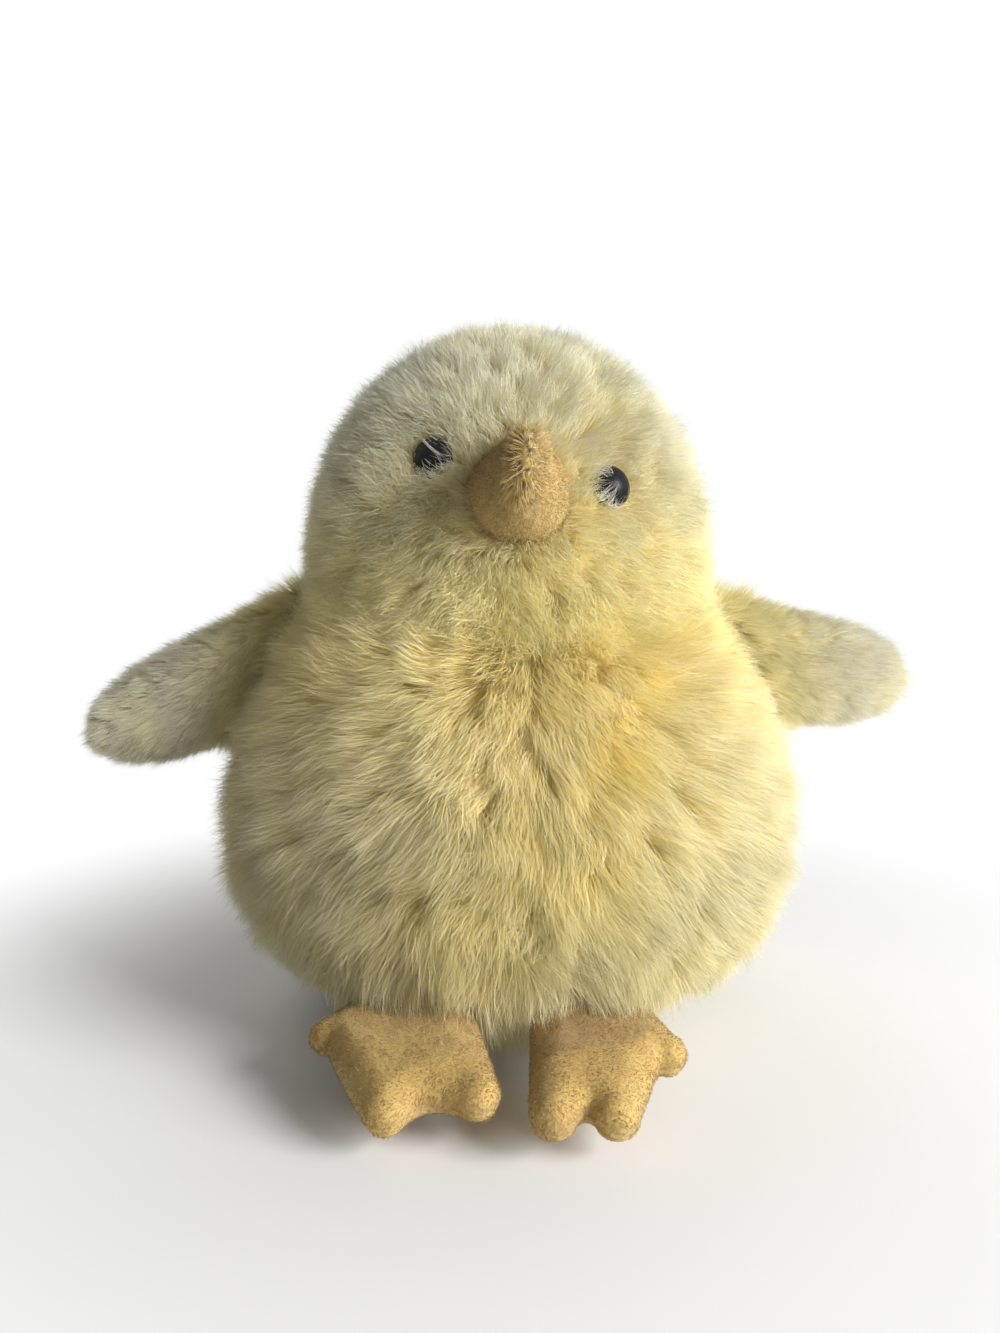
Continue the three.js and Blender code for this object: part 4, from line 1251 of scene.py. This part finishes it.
fibre = {
    "tuft": 0.5, "tuftScale": 0.3, "relax": 4, "fill": 0.9,
    "voxels": {"body": 2.4, "head": 2.2, "beak": 0.9, "left_wing": 1.0, "right_wing": 1.0,
               "left_foot": 0.7, "right_foot": 0.7},
    "cloudScale": 140.0, "cloudFrom": (0.35, 0.7), "wispScale": 1600.0, "wispStretch": (1, 0.25, 1),
    "wispFrom": (0.5, 0.8), "wispStrength": 0.5, "bump": 0.6, "depth": 0.0008,
    "white": (0.9, 0.89, 0.86), "shade": (0.76, 0.75, 0.71), "light": (0.96, 0.96, 0.94),
}
washer = {
    "milkScale": 260.0, "milkFrom": (0.3, 0.7), "pale": (0.72, 0.72, 0.69), "grey": (0.64, 0.64, 0.6),
    "scuffScale": 900.0, "scuffStretch": (1, 8, 1), "scuffFrom": (0.35, 0.75), "roughness": (0.35, 0.6),
    "bump": 0.3, "depth": 0.0002,
}


def fibreMaterial():
    material, place = newSurface("fibre_fill_white")
    cloud = noisy(place, fibre["cloudScale"], 5.0, 0.7)
    wisp = streaky(place, fibre["wispStretch"], fibre["wispScale"], 3.0)
    tone = mixed(ranged(cloud, *fibre["cloudFrom"]), fibre["white"], fibre["shade"])
    tone = mixed(ranged(wisp, *fibre["wispFrom"], 0.0, fibre["wispStrength"]), tone, fibre["light"])
    bump = bumpy(maths("ADD", cloud, wisp), fibre["bump"], fibre["depth"])
    return finish(material, principled(tone, Roughness=0.95, Normal=bump))


def washerMaterial():
    material, place = newSurface("washer_plastic_natural")
    milk = noisy(place, washer["milkScale"], 3.0, 0.6)
    scuff = streaky(place, washer["scuffStretch"], washer["scuffScale"], 2.0)
    tone = mixed(ranged(milk, *washer["milkFrom"]), washer["pale"], washer["grey"])
    rough = ranged(scuff, *washer["scuffFrom"], *washer["roughness"])
    bump = bumpy(scuff, washer["bump"], washer["depth"])
    return finish(material, principled(tone, Roughness=rough, Normal=bump))


fibreWhite = fibreMaterial()
for name, voxel in fibre["voxels"].items():
    lump = bmesh.new()
    lump.from_mesh(frame["nodes"][f"{name}_stuffing"].data)
    bmesh.ops.remove_doubles(lump, verts=lump.verts[:], dist=1e-6)
    mesh = bpy.data.meshes.new(f"{name}_fibre")
    lump.to_mesh(mesh)
    lump.free()
    filling = bpy.data.objects.new(f"{name}_fibre", mesh)
    bpy.context.scene.collection.objects.link(filling)
    remesh = filling.modifiers.new("remesh", "REMESH")
    remesh.mode, remesh.voxel_size = "VOXEL", voxel * mm
    filling.modifiers.new("relax", "SMOOTH").iterations = fibre["relax"]
    graph = bpy.context.evaluated_depsgraph_get()
    graph.update()
    filling.data = bpy.data.meshes.new_from_object(filling.evaluated_get(graph), depsgraph=graph)
    filling.modifiers.clear()
    for vertex in filling.data.vertices:
        tuft = 0.5 + 0.5 * noise.noise(vertex.co / mm * fibre["tuftScale"])
        vertex.co -= vertex.normal * fibre["tuft"] * tuft * mm
    filling.data.shade_smooth()
    filling.data.materials.clear()
    filling.data.materials.append(fibreWhite)
    body = name if name in frame["bodies"] else "body"
    wear(filling, body, f"{name}_stuffing")
washerPlastic = washerMaterial()
for name in eyeFrames:
    frame["nodes"][f"{name}_eye_washer"].material_slots[0].material = washerPlastic
print("fill and washers", sum(pieceCount.values()))


# stage

ground = {"half": 4000, "tone": (0.9, 0.9, 0.9), "roughness": 0.9, "fade": (0.05, 0.15), "sky": (0.08, 1.0)}
white = (1, 1, 1, 1)
corners = [(x * ground["half"], y * ground["half"], 0) for x, y in ((-1, -1), (1, -1), (1, 1), (-1, 1))]
floor = meshPiece("floor", corners, [[0, 1, 2, 3]])
floorMaterial, floorPlace = newSurface("floor")
floorTree = floorPlace.id_data
far = put(floorTree, "ShaderNodeVectorMath", floorPlace, operation="LENGTH")
far = put(floorTree, "ShaderNodeMapRange", far, *ground["fade"], 0.0, 1.0, interpolation_type="SMOOTHSTEP")
far = maths("MULTIPLY", far, put(floorTree, "ShaderNodeLightPath"))  # only the camera sees the white
near = put(floorTree, "ShaderNodeBsdfPrincipled", opaque(ground["tone"]), None, ground["roughness"])
glare = put(floorTree, "ShaderNodeEmission", white, 1.0)
floor.data.materials.append(finish(floorMaterial, put(floorTree, "ShaderNodeMixShader", far, near, glare)))

world = bpy.data.worlds.new("studio")
bpy.context.scene.world = world
world.use_nodes = True
world.node_tree.nodes.clear()
rays = put(world.node_tree, "ShaderNodeLightPath", out=None)
seen = maths("MAXIMUM", rays[0], rays[3])
sky = put(world.node_tree, "ShaderNodeBackground", white, ranged(seen, 0.0, 1.0, *ground["sky"]))
world.node_tree.links.new(sky, world.node_tree.nodes.new("ShaderNodeOutputWorld").inputs[0])

lamps = {
    "sun_side": {"place": (0.504, -0.353, 0.272), "size": 0.32, "power": 6.95},
    "fill_side": {"place": (0.0, -0.6, 0.35), "size": 0.5, "power": 0.25},
    "back_side": {"place": (-0.25, 0.66, 0.22), "size": 0.6, "power": 3.4},
}
lampAim = Vector((0, 0, 0.06))
for name, lamp in lamps.items():
    light = bpy.data.lights.new(name, "AREA")
    light.size = lamp["size"]
    light.energy = lamp["power"]
    holder = bpy.data.objects.new(name, light)
    holder.location = lamp["place"]
    holder.rotation_euler = (lampAim - Vector(lamp["place"])).to_track_quat("-Z", "Y").to_euler()
    bpy.context.scene.collection.objects.link(holder)

view = {"place": (-1.5, -188.959, 79.81), "tilt": 6.0, "lens": 27.737, "sensor": 36, "nearest": 0.005}
camera = bpy.data.cameras.new("camera")
camera.sensor_width = view["sensor"]
camera.lens = view["lens"]
camera.clip_start = view["nearest"]
holder = bpy.data.objects.new("camera", camera)
holder.location = [value * mm for value in view["place"]]
holder.rotation_euler = (math.radians(90 - view["tilt"]), 0, 0)
bpy.context.scene.collection.objects.link(holder)
bpy.context.scene.camera = holder
bpy.context.scene.view_settings.view_transform = "Standard"
